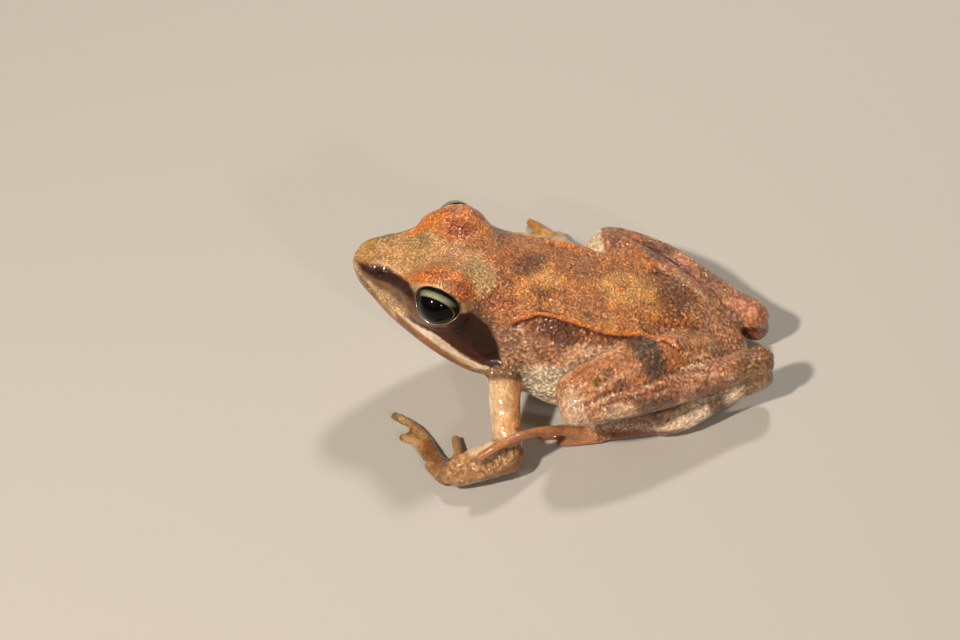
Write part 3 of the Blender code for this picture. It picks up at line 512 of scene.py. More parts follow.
# Marks on the skin as outlines in the camera's picture, in 960ths of its width, each with its colour,
# the softness and raggedness of its edge, and its strength. These lie the same on both sides of the frog.
sideMarks = {
    "trunk": [
        ("underFold", 3, 2, 0.9, [(540, 322), (556, 322), (572, 328), (584, 336), (578, 345), (562, 346), (548, 340),
            (541, 332)]),
        ("flankMauve", 5, 3, 0.8, [(493, 326), (508, 322), (528, 330), (540, 345), (537, 362), (522, 372), (505, 370),
            (499, 355)]),
        ("flankRed", 5, 3, 0.5, [(533, 345), (556, 342), (576, 352), (560, 363), (540, 363)]),
        ("flankPale", 4, 3, 0.8, [(572, 346), (600, 342), (614, 346), (600, 358), (580, 368), (564, 374),
            (556, 366)]),
        ("flankLow", 4, 3, 0.95, [(514, 374), (540, 366), (566, 368), (576, 384), (574, 402), (552, 412), (528, 406),
            (512, 394)]),
        ("bellyEdge", 3, 2, 0.8, [(508, 390), (522, 399), (538, 405), (558, 411), (560, 420), (520, 414),
            (506, 402)]),
        ("shoulder", 2, 1, 0.95, [(474, 368), (500, 367), (516, 369), (521, 376), (518, 392), (490, 392),
            (474, 380)]),
        ("lore", 2, 0.6, 1.0, [(349, 264), (356, 262), (364, 272), (380, 282), (396, 292), (408, 308), (418, 325),
            (446, 345), (478, 366), (478, 378), (440, 356), (400, 325), (370, 292), (352, 275)]),
        ("jawFront", 2, 0.6, 0.8, [(350, 268), (357, 272), (368, 284), (382, 302), (398, 320), (398, 328), (370, 296),
            (350, 278)]),
        ("canthusLow", 3.5, 0.8, 0.95, [(358, 262), (376, 264), (396, 274), (414, 288), (421, 305), (421, 328),
            (409, 318), (402, 306), (392, 296), (379, 289), (364, 279)]),
        ("canthusLow", 1.5, 0.6, 0.95, [(408, 298), (414, 306), (460, 310), (464, 326), (456, 336), (440, 340),
            (424, 334), (410, 321)]),
        ("maskFront", 3.5, 0.8, 0.75, [(409, 316), (424, 326), (440, 330), (440, 340), (424, 331), (412, 324)]),
        ("canthus", 3, 0.6, 1.0, [(357, 262), (368, 264.5), (377, 265), (388, 268), (397, 273.5), (405, 279),
            (414, 286), (415, 306), (408, 298), (399, 289), (388, 283), (376, 279), (362, 271)]),
        ("maskFront", 1.2, 0.7, 1.0, [(457, 311), (473, 313), (479, 318.5), (487.5, 325), (492, 332.5), (497, 342.5),
            (500, 355), (503.5, 367), (495, 368), (486, 367), (473.5, 359.5), (460, 352), (447.5, 344.5), (435, 335),
            (426, 329), (420, 323), (432, 327), (446, 327)]),
        ("mask", 4, 1, 0.95, [(458, 312), (472.5, 313), (479, 319), (487.5, 325), (492, 332.5), (497, 342.5),
            (500, 355), (502, 365), (490, 362), (474, 352), (458, 340), (452, 328)]),
        ("lipFront", 1.0, 1.2, 0.8, [(364, 277), (378, 290), (390, 303), (402, 315), (410, 322), (410, 327),
            (400, 317), (386, 302), (374, 288)]),
        ("lip", 0.9, 0.9, 1.0, [(398, 311.5), (408, 319), (420, 326.5), (431, 332), (441, 338.5), (450, 345),
            (460, 353), (471, 359.5), (479, 364), (490, 368), (489, 370.5), (479, 369), (469, 364.5), (459, 359),
            (449, 352.5), (439, 346), (426, 337), (413, 327.5), (403, 318)]),
        ("jaw", 2.2, 0.5, 0.95, [(396, 313), (404, 320), (414, 329), (427, 339), (440, 348), (450, 354.5), (460, 361),
            (470, 366), (476, 372), (456, 370), (440, 361), (420, 346), (396, 324)]),
        ("throat", 2, 0.5, 0.95, [(457, 362), (470, 367.5), (480, 372), (491, 372), (492, 380), (470, 379),
            (456, 368)]),
    ],
    "thigh": [
        ("thighFront", 4, 2, 0.9, [(575, 372), (597, 357), (620, 346), (632, 344), (636, 360), (620, 374), (598, 386),
            (578, 392), (566, 386)]),
        ("thighRust", 5, 3, 0.7, [(600, 392), (625, 378), (650, 372), (664, 384), (640, 392), (615, 402)]),
        ("thighRust", 4, 2, 0.85, [(664, 342), (684, 346), (686, 366), (668, 374), (662, 356)]),
        ("thighBar", 4, 3.5, 0.95, [(620, 336), (652, 334), (661, 345), (665, 358), (668, 372), (661, 384),
            (648, 378), (641, 362), (634, 350)]),
        ("thighBar", 3, 3, 0.6, [(611, 384), (620, 378), (630, 382), (628, 393), (616, 396)]),
        ("olive", 2, 2, 0.75, [(601, 368), (608, 366), (614, 370), (611, 377), (603, 377)]),
        ("olive", 2, 2, 0.75, [(592, 380), (599, 376), (604, 380), (600, 387), (594, 387)]),
        # painted shade in a crease of the thigh
        ("crease", 1.5, 2, 0.7, [(603, 391), (611, 390), (612, 396), (604, 397)]),
        ("shankPale", 1, 0.8, 0.6, [(594, 359), (606, 351.5), (620, 345), (622, 347.5), (608, 355), (597, 362)]),
        ("shankPale", 0.8, 0.5, 0.5, [(596, 388), (618, 376), (640, 363), (641, 365.5), (618, 379), (598, 391)]),
        ("shankPale", 7, 5, 0.85, [(560, 394), (572, 388), (586, 402), (584, 420), (560, 424)]),
    ],
    "shank": [
        ("shankPale", 7, 5, 0.9, [(556, 388), (570, 384), (582, 404), (590, 424), (560, 430)]),
        ("shankPale", 5, 4, 0.75, [(602, 408), (615, 404), (630, 405), (630, 416), (606, 420)]),
        ("shankDark", 2.5, 3, 0.8, [(636, 400), (662, 398), (680, 400), (676, 408), (640, 415)]),
        # painted shade in the creases between thigh and shank
        ("crease", 1.5, 1.5, 0.8, [(618, 400), (640, 393), (668, 385), (684, 378), (686, 383), (660, 392),
            (626, 403)]),
        ("crease", 2.5, 2, 0.8, [(694, 388), (727, 382), (727, 396), (696, 402)]),
        # painted shade: a dark line along the crease under the shank
        ("shankDark", 1.2, 1, 0.9, [(606, 420), (640, 415), (676, 408), (700, 400), (700, 404), (642, 419),
            (606, 424)]),
    ],
    "tarsus": [
        ("tarsusBar", 2.5, 2, 0.9, [(707, 400), (722, 394), (727, 406), (722, 418), (710, 414)]),
        # the red under the tarsus, darkened as painted shade
        ("redShadeUnder", 2.5, 1, 0.95, [(600, 430), (640, 430), (672, 431), (694, 430), (700, 450), (600, 450)]),
    ],
    "foot": [
        # partly painted light: the pale strip of tarsus and foot, made paler than its own colour against its shade
        ("tarsus", 3, 2, 0.95, [(585, 420), (600, 416), (640, 412), (700, 406), (700, 431), (640, 430), (600, 430),
            (586, 428)]),
        # the red under the foot, darkened as painted shade
        ("redShadeUnder", 3, 1, 0.8, [(610, 433), (640, 431), (700, 431), (700, 450), (610, 448)]),
        ("toeRed", 2, 2, 0.9, [(536, 434), (560, 433), (566, 440), (540, 446)]),
    ],
    "upper_arm": [
        ("shoulder", 1.5, 1, 1.0, [(480, 350), (530, 350), (530, 384), (518, 381.5), (502, 379), (488, 381.5),
            (480, 384)]),
        # painted light: the upper arm paler along the side that faces the light
        ("armLitSide", 2.5, 1, 0.9, [(484, 380), (493, 380), (493, 440), (484, 440)]),
        ("armEdge", 3, 1.5, 0.7, [(512, 380), (524, 384), (526, 436), (514, 436)]),
        ("armEdge", 2, 3, 0.5, [(500, 420), (512, 416), (514, 432), (502, 434)]),
    ],
    "forearm": [
        ("elbow", 2.5, 1.5, 0.9, [(466, 452), (478, 440), (490, 432), (494, 446), (484, 452), (472, 458)]),
        ("amber", 2.5, 1.5, 0.95, [(480, 480), (500, 472), (514, 462), (520, 446), (528, 452), (520, 472),
            (490, 488)]),
    ],
    "hand": [
        ("handRed", 2.5, 3, 0.7, [(416, 436), (428, 430), (440, 452), (436, 464), (424, 452)]),
        ("fingerCream", 2, 2, 0.8, [(398, 413), (408, 415), (412, 424), (402, 424)]),
        ("fingerCream", 2, 2, 0.8, [(418, 430), (428, 432), (428, 440), (420, 440)]),
        ("fingerCream", 2, 2, 0.8, [(400, 432), (412, 434), (424, 444), (416, 450), (404, 440)]),
        ("fingerTip", 3, 1, 0.9, [(386, 410), (398, 410), (396, 424), (386, 424)]),
        ("fingerTip", 3, 1, 0.7, [(388, 432), (400, 430), (400, 442), (388, 442)]),
        ("fingerCream", 3, 1, 0.6, [(446, 428), (464, 428), (466, 452), (450, 456)]),
    ],
}

# The same for marks on the top of the head and back, which differ from side to side.
topMarks = [
    ("backRust", 6, 3, 0.6, [(478, 240), (500, 240), (540, 250), (520, 262), (498, 268), (484, 256)]),
    ("backRust", 6, 3, 0.5, [(474, 300), (500, 290), (522, 300), (510, 318), (488, 320)]),
    ("backDark", 4, 4, 0.9, [(510, 262), (528, 253), (545, 255), (549, 264), (536, 273), (522, 278), (510, 277)]),
    ("backDark", 3, 3, 0.6, [(536, 285), (550, 283), (557, 292), (546, 301), (535, 298)]),
    ("backDark", 5, 4, 0.6, [(652, 270), (672, 266), (690, 280), (698, 300), (684, 313), (664, 307), (655, 292)]),
    ("backDark", 5, 4, 0.4, [(560, 262), (600, 262), (606, 274), (590, 284), (566, 276)]),
    ("backDark", 5, 4, 0.4, [(560, 300), (600, 304), (606, 318), (580, 318), (560, 310)]),
    ("backLight", 4, 3, 0.7, [(530, 275), (548, 269), (564, 276), (558, 287), (540, 290)]),
    ("backLight", 5, 3, 1.0, [(598, 281), (618, 272), (640, 276), (656, 286), (652, 299), (630, 304), (610, 299)]),
    ("backRust", 3, 2, 0.8, [(614, 284), (628, 282), (630, 290), (618, 292)]),
    ("backRust", 5, 3, 0.7, [(664, 318), (690, 316), (690, 340), (664, 336)]),
    ("crown", 5, 4.5, 1.0, [(350, 262), (352, 250), (376, 232), (400, 225), (430, 224), (446, 240), (466, 247),
        (482, 256), (492, 264), (497, 276), (493, 289), (482, 295), (474, 300), (470, 284), (457, 273), (440, 270),
        (425, 271), (411, 279), (398, 273), (386, 266), (368, 264)]),
    ("crownWarm", 4, 3, 0.6, [(430, 240), (450, 238), (468, 248), (470, 262), (456, 266), (440, 258)]),
    ("crownOlive", 7, 4, 0.65, [(458, 266), (470, 259), (481, 257), (488, 263), (492, 276), (489, 288), (482, 289),
        (472, 280)]),
    ("crownOlive", 3, 2, 0.6, [(405, 238), (425, 230), (434, 238), (426, 250), (410, 250)]),
    ("snout", 3, 2.5, 1.0, [(346, 264), (348, 250), (362, 238), (378, 232), (384, 240), (377, 247), (373, 255),
        (374, 262), (366, 264), (356, 262)]),
    # painted highlight: a pale line along the wet ridge from nostril to eye
    ("rim", 0.9, 0.8, 0.7, [(368, 262), (377, 261.5), (389, 264), (398, 271), (408, 278.5), (413, 283), (411, 284),
        (404, 278), (396, 271.5), (387, 265.8), (376, 263.8), (368, 263.6)]),
]
# Marks on the lids, the same on both sides, and marks that only the far side has.
lidMarks = [
    ("lid", 2.2, 1.5, 1.0, [(409, 278), (416, 272), (425, 268.5), (440, 267.5), (457, 270), (467, 276), (472, 284),
        (475, 293), (474, 304), (469, 298), (463, 302), (458, 305), (450, 297), (440, 291), (430, 288.5),
        (420, 287.5), (411, 284)]),
    ("lidPink", 3, 2, 0.8, [(430, 282), (441, 277), (451, 282), (454, 291), (447, 294), (436, 290)]),
    ("lidDark", 3, 3, 0.75, [(454, 283), (463, 280), (471, 287), (472, 297), (460, 303), (456, 296)]),
    ("lidDark", 2, 2, 0.6, [(424, 270), (436, 272), (446, 270), (448, 276), (436, 279), (428, 276)]),
    ("lidTan", 1.0, 0.5, 0.95, [(456.5, 306), (463, 302), (469, 297), (472.5, 302), (474, 309), (466, 313),
        (458, 313)]),
    ("lidStrip", 1.0, 0.6, 0.9, [(411, 283.5), (420, 283), (430, 284), (440, 287), (450, 293.5), (457, 302),
        (456, 307), (447, 298), (437, 292), (424, 289), (412, 288)]),
    ("lidEdge", 1.2, 0.5, 0.8, [(412, 287), (424, 287), (437, 290.5), (447, 296), (458, 306), (456, 309), (446, 300),
        (436, 295), (424, 291), (414, 291)]),
]
farMarks = {
    "trunk": [
        ("lid", 3, 2, 1.0, [(408, 236), (416, 222), (430, 206), (445, 199), (464, 199), (478, 206), (486, 220),
            (490, 228), (480, 232), (470, 240), (452, 240), (442, 234), (433, 229), (420, 234)]),
        ("lidDark", 3, 3, 0.7, [(441, 212), (456, 208), (470, 216), (476, 230), (464, 238), (452, 238), (446, 226)]),
        ("lidPink", 3, 3, 0.5, [(452, 206), (464, 208), (462, 218), (450, 216)]),
    ],
    "leg": [
        ("farKnee", 1.5, 1, 1.0, [(580, 215), (596, 215), (601, 232), (606, 262), (584, 262)]),
        ("farOlive", 5, 3, 0.6, [(606, 222), (622, 224), (626, 250), (612, 256)]),
        ("backRust", 5, 3, 0.7, [(622, 232), (646, 234), (652, 246), (640, 256), (624, 250)]),
        ("back", 5, 3, 0.9, [(600, 256), (640, 252), (665, 268), (700, 300), (680, 300), (640, 270), (600, 268)]),
        ("farGrey", 4, 3, 0.9, [(640, 240), (660, 240), (676, 250), (668, 262), (650, 262)]),
        ("farOlive", 5, 4, 0.8, [(700, 264), (716, 270), (734, 294), (724, 302), (704, 284)]),
        ("farCream", 4, 3, 0.95, [(672, 272), (686, 276), (708, 296), (728, 312), (750, 324), (742, 336), (712, 326),
            (690, 304)]),
        # painted shade in the crease along the far leg's lower edge
        ("crease", 3, 1.5, 0.8, [(740, 330), (756, 326), (776, 318), (772, 340), (742, 342)]),
    ],
}


# Marks on smooth skin, with hardly any grain, and those that are a little smoother than the rest.
smoothMarks = ("mask", "maskFront", "canthus", "canthusLow", "lip", "jaw", "throat", "lidTan", "lidEdge", "lidStrip",
               "rim", "elbow", "amber", "redShadeUnder", "toeRed")
halfSmoothMarks = ("snout", "crown", "crownOlive", "crownWarm", "lipFront")
paintTint = (0.97, 0.87, 0.7)  # the film of water adds pale light, which this takes off again


# the skin's colour at each point, built up in layers as with a brush, and where it is smooth; painted shade lies
# in its hollows, creases, nostrils and under the feet, and painted light on a few places that face the light
def paintSkin(points, normals, groups, hollow):
    x, y, z = points.T
    kind = groups["kind"]
    tone = {name: np.array(hexToLinear(value)[:3]) for name, value in skinColours.items()}
    colour = np.tile(tone["back"], (len(points), 1))
    sided = points * toLeft(points)
    trueU, trueV, trueFace = seenFrom(points, normals)
    sideU, sideV, sideFace = seenFrom(sided, normals * toLeft(points))
    wide, patch, fleck = cloud(points, 5.0, 1.0), cloud(points, 2.2, 2.0), cloud(points, 0.6, 3.0)
    ragged = cloud(points, 0.45, 6.0) + 0.8 * cloud(points, 1.2, 8.0)
    trunk = groups["trunk"] > 0.5
    smooth = np.zeros(len(points))

    def lay(name, weight):
        nonlocal colour
        weight = np.clip(weight, 0, 1)[:, None]
        colour = colour * (1 - weight) + tone[name] * weight

    def mark(entry, u, v, weight):
        name, soft, rough, strength, outline = entry
        where = np.nonzero(weight > 0.01)[0]
        inside = np.zeros(len(points))
        inside[where] = smoothStep(soft, -soft, insideOutline(u[where], v[where], outline) + rough * ragged[where])
        lay(name, inside * weight * strength)
        if name in smoothMarks:
            np.maximum(smooth, inside * weight * strength, out=smooth)
        elif name in halfSmoothMarks:
            np.maximum(smooth, 0.15 * inside * weight, out=smooth)

    facing = smoothStep(-0.25, 0.05, sideFace)
    seen = np.where(x < 0, smoothStep(0.0, 0.15, trueFace), 1.0)
    # ground colours
    lay("backLight", trunk * smoothStep(0.1, 0.6, patch + 0.4 * fleck) * 0.4)
    lay("backDark", trunk * smoothStep(0.0, 0.6, -patch + 0.5 * fleck) * 0.5)
    # painted shade: the back darker in the dents between the lumps of its relief
    lay("backDark", trunk * smoothStep(0.1, 0.5, -cloud(points, 0.65, 9.0)) * 0.35)
    drop = follow(foldLine, y, 2) - z
    flank = groups["lateral"]
    lay("underFold", flank * smoothStep(0.0, 0.3, drop) * smoothStep(2.4, 1.2, drop) * 0.4)
    lay("flank", flank * smoothStep(0.9, 2.4, drop + 0.5 * patch))
    lay("flankLow", flank * smoothStep(4.6, 6.6, drop + 0.4 * patch))
    for name in regions[3:]:
        lay("upperArm" if name == "upper_arm" else name, isOn(kind, name))
    leg = groups["leg"]
    streaks = legStreaks(points, kind)
    # the wrinkles of the legs: paler along their ridges, with painted shade in their grooves
    lay("shankPale", leg * smoothStep(0.05, 0.5, streaks + 0.4 * fleck) * 0.55)
    lay("crease", leg * smoothStep(0.1, 0.5, -streaks + 0.3 * fleck) * 0.5)
    lay("heel", isOn(kind, "shank", "tarsus") * smoothStep(42.5, 44.0, y) * 0.9)
    lay("belly", groups["belly"] * isOn(kind, "torso") * 0.95)
    lay("throat", isOn(kind, "lower_jaw"))
    lay("throatPale", isOn(kind, "lower_jaw") * smoothStep(-0.2, -0.6, normals[:, 2]))
    lay("toe", isOn(kind, "foot") * smoothStep(34.0, 30.0, y))
    lowArm = isOn(kind, "forearm", "hand")
    lay("handRed", lowArm * smoothStep(0.05, 0.5, -fleck + 0.4 * patch) * 0.5)
    lay("fingerCream", lowArm * smoothStep(0.1, 0.5, fleck + 0.4 * patch) * 0.55)
    # the cheeks, also where the marks below turn away
    head = isOn(kind, "head")
    lay("canthusLow", head * smoothStep(17.3, 16.6, z) * smoothStep(18.0, 17.0, y) * smoothStep(2.2, 3.0, np.abs(x)))
    lay("lore", head * smoothStep(15.6, 14.6, z) * smoothStep(12.0, 9.0, y))
    # marks on the top, then on the sides
    for entry in topMarks:
        mark(entry, trueU, trueV, trunk * smoothStep(-0.1, 0.1, trueFace) * seen)
    for entry in topMarks:
        if not entry[0].startswith("back"):
            mark(entry, sideU, sideV, trunk * (1 - seen) * facing)
    for word, entries in sideMarks.items():
        part = trunk if word == "trunk" else isOn(kind, word)
        hidden = 1.0 if word in ("trunk", "hand", "upper_arm", "forearm") else np.where(x < 0, 1 - seen, 1)
        for entry in entries:
            mark(entry, sideU, sideV, part * facing * hidden)
    # painted shade: the nostril's opening painted nearly black
    lay("nostril", trunk * smoothStep(0.34, 0.2, np.linalg.norm(sided - np.array((2.85, 5.0, 17.3)), axis=1)))
    for entry in farMarks["trunk"]:
        mark(entry, trueU, trueV, trunk * (x < 1) * smoothStep(-0.3, 0.0, trueFace) * smoothStep(16.2, 16.9, z))
    for entry in lidMarks:
        mark(entry, sideU, sideV, trunk * facing * (z > 14.5))
    lay("farShank", leg * (x < 0) * seen)
    for entry in farMarks["leg"]:
        mark(entry, trueU, trueV, leg * (x < 0) * seen)
    lay("farWrist", lowArm * (x < 0) * 0.9)
    lay("farFinger", isOn(kind, "hand") * (x < 0) * smoothStep(240, 222, trueV) * 0.9)
    # the folds along the back
    fold, along = nearLine(sided, foldPath)
    onBody = (trunk | isOn(kind, "thigh")) * smoothStep(0.0, 0.06, along) * smoothStep(1.0, 0.93, along) * (z > 7)
    nearSide = np.where(x < 0, 0.8, 1.0)
    lay("foldShade", onBody * smoothStep(0.75, 0.45, fold) * (drop > np.where(x < 0, 0.2, -0.05)) * 0.9 * nearSide)
    lay("fold", onBody * smoothStep(0.42, 0.26, fold + 0.1 * ragged) * smoothStep(0.22, 0.02, drop) * nearSide)
    # painted shade: thigh and shank take the crease colour where the skin lies hollow, and all hollows are darkened,
    # on the foot only a little
    lay("crease", isOn(kind, "thigh", "shank") * smoothStep(0.35, 1.0, hollow) * 0.6)
    shade = 1 - np.where(isOn(kind, "foot"), 0.15, 0.4) * smoothStep(0.15, 0.9, hollow)
    return colour * np.array(paintTint) * (shade * (1 + 0.08 * wide + 0.08 * fleck))[:, None], smooth


def store(skin, name, kind, key, values):
    skin.data.attributes.new(name, kind, "POINT").data.foreach_set(key, np.asarray(values, float).ravel())


# puts plain values on a node's sockets or settings, and links other nodes' outputs to them
def connect(tree, node, values):
    for key, value in values.items():
        if isinstance(value, bpy.types.NodeSocket):
            tree.links.new(value, node.inputs[key])
        elif isinstance(key, int) or key in node.inputs:
            node.inputs[key].default_value = value
        else:
            setattr(node, key, value)


def addNode(tree, kind, values, output=None):
    node = tree.nodes.new("ShaderNode" + kind)
    connect(tree, node, values)
    return node if output is None else node.outputs[output]


def newMaterial(name):
    material = bpy.data.materials.new(name)
    material.use_nodes = True
    return material, material.node_tree, material.node_tree.nodes["Principled BSDF"]


grainLook = {
    "fine": 0.31,  # mm across a grain, on the back and head
    "coarse": 0.48,  # on flanks and limbs
    "height": 0.16,
    "film": 0.45,  # mm across a swelling of the film of water
    "filmHeight": 0.14,
    # colour of the pale specks on the grains, which are partly painted glints
    "fleckAndGlintColour": "ffc488",
    # painted shade in the gaps between grains and painted light on their tops, as shares of the paint
    "gapShade": 0.42,
    "topShade": 1.45,
    "coat": 1.0,
    "darkCoat": 0.12,
    "coatRoughness": 0.07,
}


# Moist amphibian skin, grown in grains under a film of water: matt colour under sharp small glints, with painted
# shade in the gaps between grains, painted light on their tops, and pale specks on a few grains that are partly
# painted glints.
def moistSkin(name, coat):
    material, tree, shader = newMaterial(name)
    place = addNode(tree, "TexCoord", {}, "Object")
    paint = addNode(tree, "Attribute", {"attribute_name": "paint"}, "Color")
    grain, coarse, fleck = [addNode(tree, "Attribute", {"attribute_name": word}, "Fac")
                            for word in ("grain", "coarse", "fleck")]
    fine, small, large, broad = [
        addNode(tree, "TexNoise", {"Scale": 1 / (size * mm), "Detail": detail, "Vector": place}, "Fac")
        for size, detail in ((0.11, 3.0), (0.25, 3.0), (0.36, 3.0), (1.3, 4.0))]
    # the cells of the grains are bent a little out of line
    bend = addNode(tree, "TexNoise", {"Scale": 1 / (0.6 * mm), "Vector": place}, "Color")
    bent = addNode(tree, "VectorMath", {"operation": "MULTIPLY_ADD", 0: bend, 1: (0.25 * mm,) * 3, 2: place}, 0)
    tops, picks = [], []
    for size in (grainLook["fine"], grainLook["coarse"]):
        cells = addNode(tree, "TexVoronoi", {"Scale": 1 / (size * mm), "Vector": bent})
        tops.append(addNode(tree, "MapRange", {"Value": cells.outputs["Distance"], "From Min": 0.12,
                                               "From Max": 0.66, "To Min": 1.0, "To Max": 0.0}, "Result"))
        picks.append(addNode(tree, "SeparateColor", {"Color": cells.outputs["Color"]}, "Red"))
    pick, cell, loose = [addNode(tree, "Mix", {0: coarse, 2: ofBack, 3: ofFlank}, 0)
                         for ofBack, ofFlank in (picks, tops, (small, large))]
    # cells and loose noise together make grains of uneven height
    uneven = addNode(tree, "Math", {"operation": "MULTIPLY_ADD", 0: cell, 1: 0.32, 2: loose}, 0)
    top = addNode(tree, "MapRange", {"Value": uneven, "From Min": 0.42, "From Max": 0.82}, "Result")
    # which grains carry pale specks and painted glints, the middle of a cell, how colour and roughness vary in
    # patches, how much higher the coarse grains are
    few, middle, patchy, matt, wider = [
        addNode(tree, "MapRange", {"Value": value, "From Min": a, "From Max": b, "To Min": c, "To Max": d}, "Result")
        for value, a, b, c, d in (
            (pick, 0.62, 0.8, 0.0, 1.0), (cell, 0.5, 0.85, 0.0, 1.0), (broad, 0.3, 0.7, 0.72, 1.24),
            (broad, 0.35, 0.65, 0.38, 0.55), (coarse, 0.0, 1.0, 1.0, 1.5))]
    # pale specks, partly painted glints, sit on a few grains; the gaps between grains get painted shade and their
    # tops painted light
    chosen = addNode(tree, "Math", {"operation": "MULTIPLY", 0: few, 1: middle}, 0)
    tipped = addNode(tree, "Math", {"operation": "MULTIPLY_ADD", 0: top, 1: 0.18, 2: chosen}, 0)
    fleckAndGlint = addNode(tree, "Math", {"operation": "MULTIPLY", 0: tipped, 1: fleck}, 0)
    pale = addNode(tree, "Mix", {"data_type": "RGBA", "blend_type": "SCREEN", 0: 0.5, 6: paint,
                                 7: hexToLinear(grainLook["fleckAndGlintColour"])}, 2)
    fleckedAndGlinted = addNode(tree, "Mix", {"data_type": "RGBA", 0: fleckAndGlint, 6: paint, 7: pale}, 2)
    # painted shade and light: each grain is darker in its gaps and lighter on its top, as its relief would be lit
    shade = addNode(tree, "MapRange", {"Value": top, "To Min": grainLook["gapShade"],
                                       "To Max": grainLook["topShade"]}, "Result")
    depth = addNode(tree, "Mix", {0: grain, 2: 1.0, 3: shade}, 0)
    swing = addNode(tree, "Math", {"operation": "MULTIPLY", 0: patchy, 1: depth}, 0)
    colour = addNode(tree, "VectorMath", {"operation": "SCALE", 0: fleckedAndGlinted, "Scale": swing}, 0)
    # bumps: the grains, then the finer texture on them
    height = addNode(tree, "Math", {"operation": "MULTIPLY", 0: top, 1: grain}, 0)
    height = addNode(tree, "Math", {"operation": "MULTIPLY", 0: height, 1: wider}, 0)
    low = addNode(tree, "Bump", {"Strength": 1.0, "Distance": grainLook["height"] * mm, "Height": height}, "Normal")
    high = addNode(tree, "Bump", {"Strength": 0.7, "Distance": 0.02 * mm, "Height": fine, "Normal": low}, "Normal")
    # the film of water bridges the grains, so its glints are fewer and larger
    film = addNode(tree, "TexVoronoi", {"Scale": 1 / (grainLook["film"] * mm), "Vector": bent}, "Distance")
    swell = addNode(tree, "MapRange", {"Value": film, "From Max": 0.8, "To Min": 1.0, "To Max": 0.0}, "Result")
    swell = addNode(tree, "Math", {"operation": "MULTIPLY_ADD", 0: loose, 1: 0.8, 2: swell}, 0)
    swell = addNode(tree, "Math", {"operation": "MULTIPLY", 0: swell, 1: grain}, 0)
    filmed = addNode(tree, "Bump", {"Strength": 1.0, "Distance": grainLook["filmHeight"] * mm,
                                    "Height": swell}, "Normal")
    connect(tree, shader, {"Base Color": colour, "Roughness": matt, "Normal": high, "Coat Normal": filmed, "IOR": 1.3,
                           "Coat Weight": coat, "Coat Roughness": grainLook["coatRoughness"], "Coat IOR": 1.6,
                           "Subsurface Weight": 0.1, "Subsurface Radius": (1.0, 0.35, 0.2),
                           "Subsurface Scale": 0.5 * mm})
    return material


# How strong the grains are in each region, where the back has 1.
grainShare = {"lowLimb": 0.28, "limb": 0.5, "jaw": 0.15, "forearm": 0.7, "lowBelow": 7.2, "toesEnd": 28}

skin, solidTree, solidNames = buildSkin()
points = relax(readPoints(skin), readEdges(skin), body["smoothPasses"])
writePoints(skin, points)
refineSkin(skin)
points = blendRoots(relax(readPoints(skin), readEdges(skin), 2), readEdges(skin))
points = drawLids(points)
writePoints(skin, points)
print("skin drawn over the solids:", sum(len(face.vertices) - 2 for face in skin.data.polygons), "triangles")

normals = readNormals(skin)
groups = findGroups(points, normals, solidTree, solidNames)
points = points + normals * (sculptHead(points) + sculptBody(points, groups))[:, None]
points[:, 2] = np.maximum(points[:, 2], 0.0)
writePoints(skin, points)
normals = readNormals(skin)
edges = readEdges(skin)
# how hollow the skin lies at each point, for the painted shade in its hollows
around = spread(spread(spread(points, edges), edges), edges)
hollow = np.clip(np.einsum("ij,ij->i", around - points, normals) * 14, -1, 1)
paint, smooth = paintSkin(points, normals, groups, hollow)
store(skin, "paint", "FLOAT_COLOR", "color", np.hstack([paint, np.ones((len(paint), 1))]))

# how strong and how coarse the grains are, with their painted shade and light, and how many pale specks and
# painted glints they carry: least on dark smooth skin, lips, hands and below
kind, height, light = groups["kind"], points[:, 2], paint.max(axis=1)
jaw, forearm = isOn(kind, "lower_jaw"), isOn(kind, "forearm")
limb = isOn(kind, "upper_arm", "hand") | (isOn(kind, "foot") & (points[:, 1] < grainShare["toesEnd"]))
plain = (1 - 0.9 * smooth) * (1 - 0.5 * groups["under"]) * (1 - 0.2 * smoothStep(0.38, 0.6, light))
share = np.select([limb & (height < grainShare["lowBelow"]), limb, jaw, forearm],
                  [grainShare[word] for word in ("lowLimb", "limb", "jaw", "forearm")], 1.0)
store(skin, "grain", "FLOAT", "value", share * plain)
store(skin, "coarse", "FLOAT", "value",
      np.clip(groups["flank"] + 0.7 * groups["leg"] + 0.8 * forearm + isOn(kind, "upper_arm"), 0, 1))
store(skin, "fleck", "FLOAT", "value", np.select([limb, jaw], [0.3, 0.1], 0.9) * plain * np.clip(2.2 * light, 0.12, 1))
skin.data.materials.append(moistSkin("moistGranularSkin", grainLook["coat"]))
# the dark mask is smooth skin with hardly a film, so it stays deep and dark
skin.data.materials.append(moistSkin("darkSmoothSkin", grainLook["darkCoat"]))
dark = (light < 0.12) & isOn(kind, "head")
slots = [1 if all(dark[i] for i in face.vertices) else 0 for face in skin.data.polygons]
skin.data.polygons.foreach_set("material_index", slots)
selectOnly(skin)
bpy.ops.object.shade_smooth()
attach(skin, "root")
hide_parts(*[name for name in frame["nodes"] if not name.startswith("eye")])
print("skin sculpted and painted")

eyeLook = {
    "pupilLong": 0.64, "pupilShort": 0.46,  # shares of the distance from the middle of the eye to its side
    "pupilDrop": 0.08,
    "pupil": "020202", "irisLow": "0f0d08", "irisHigh": "b8bc9c", "gold": "a8874a",
}


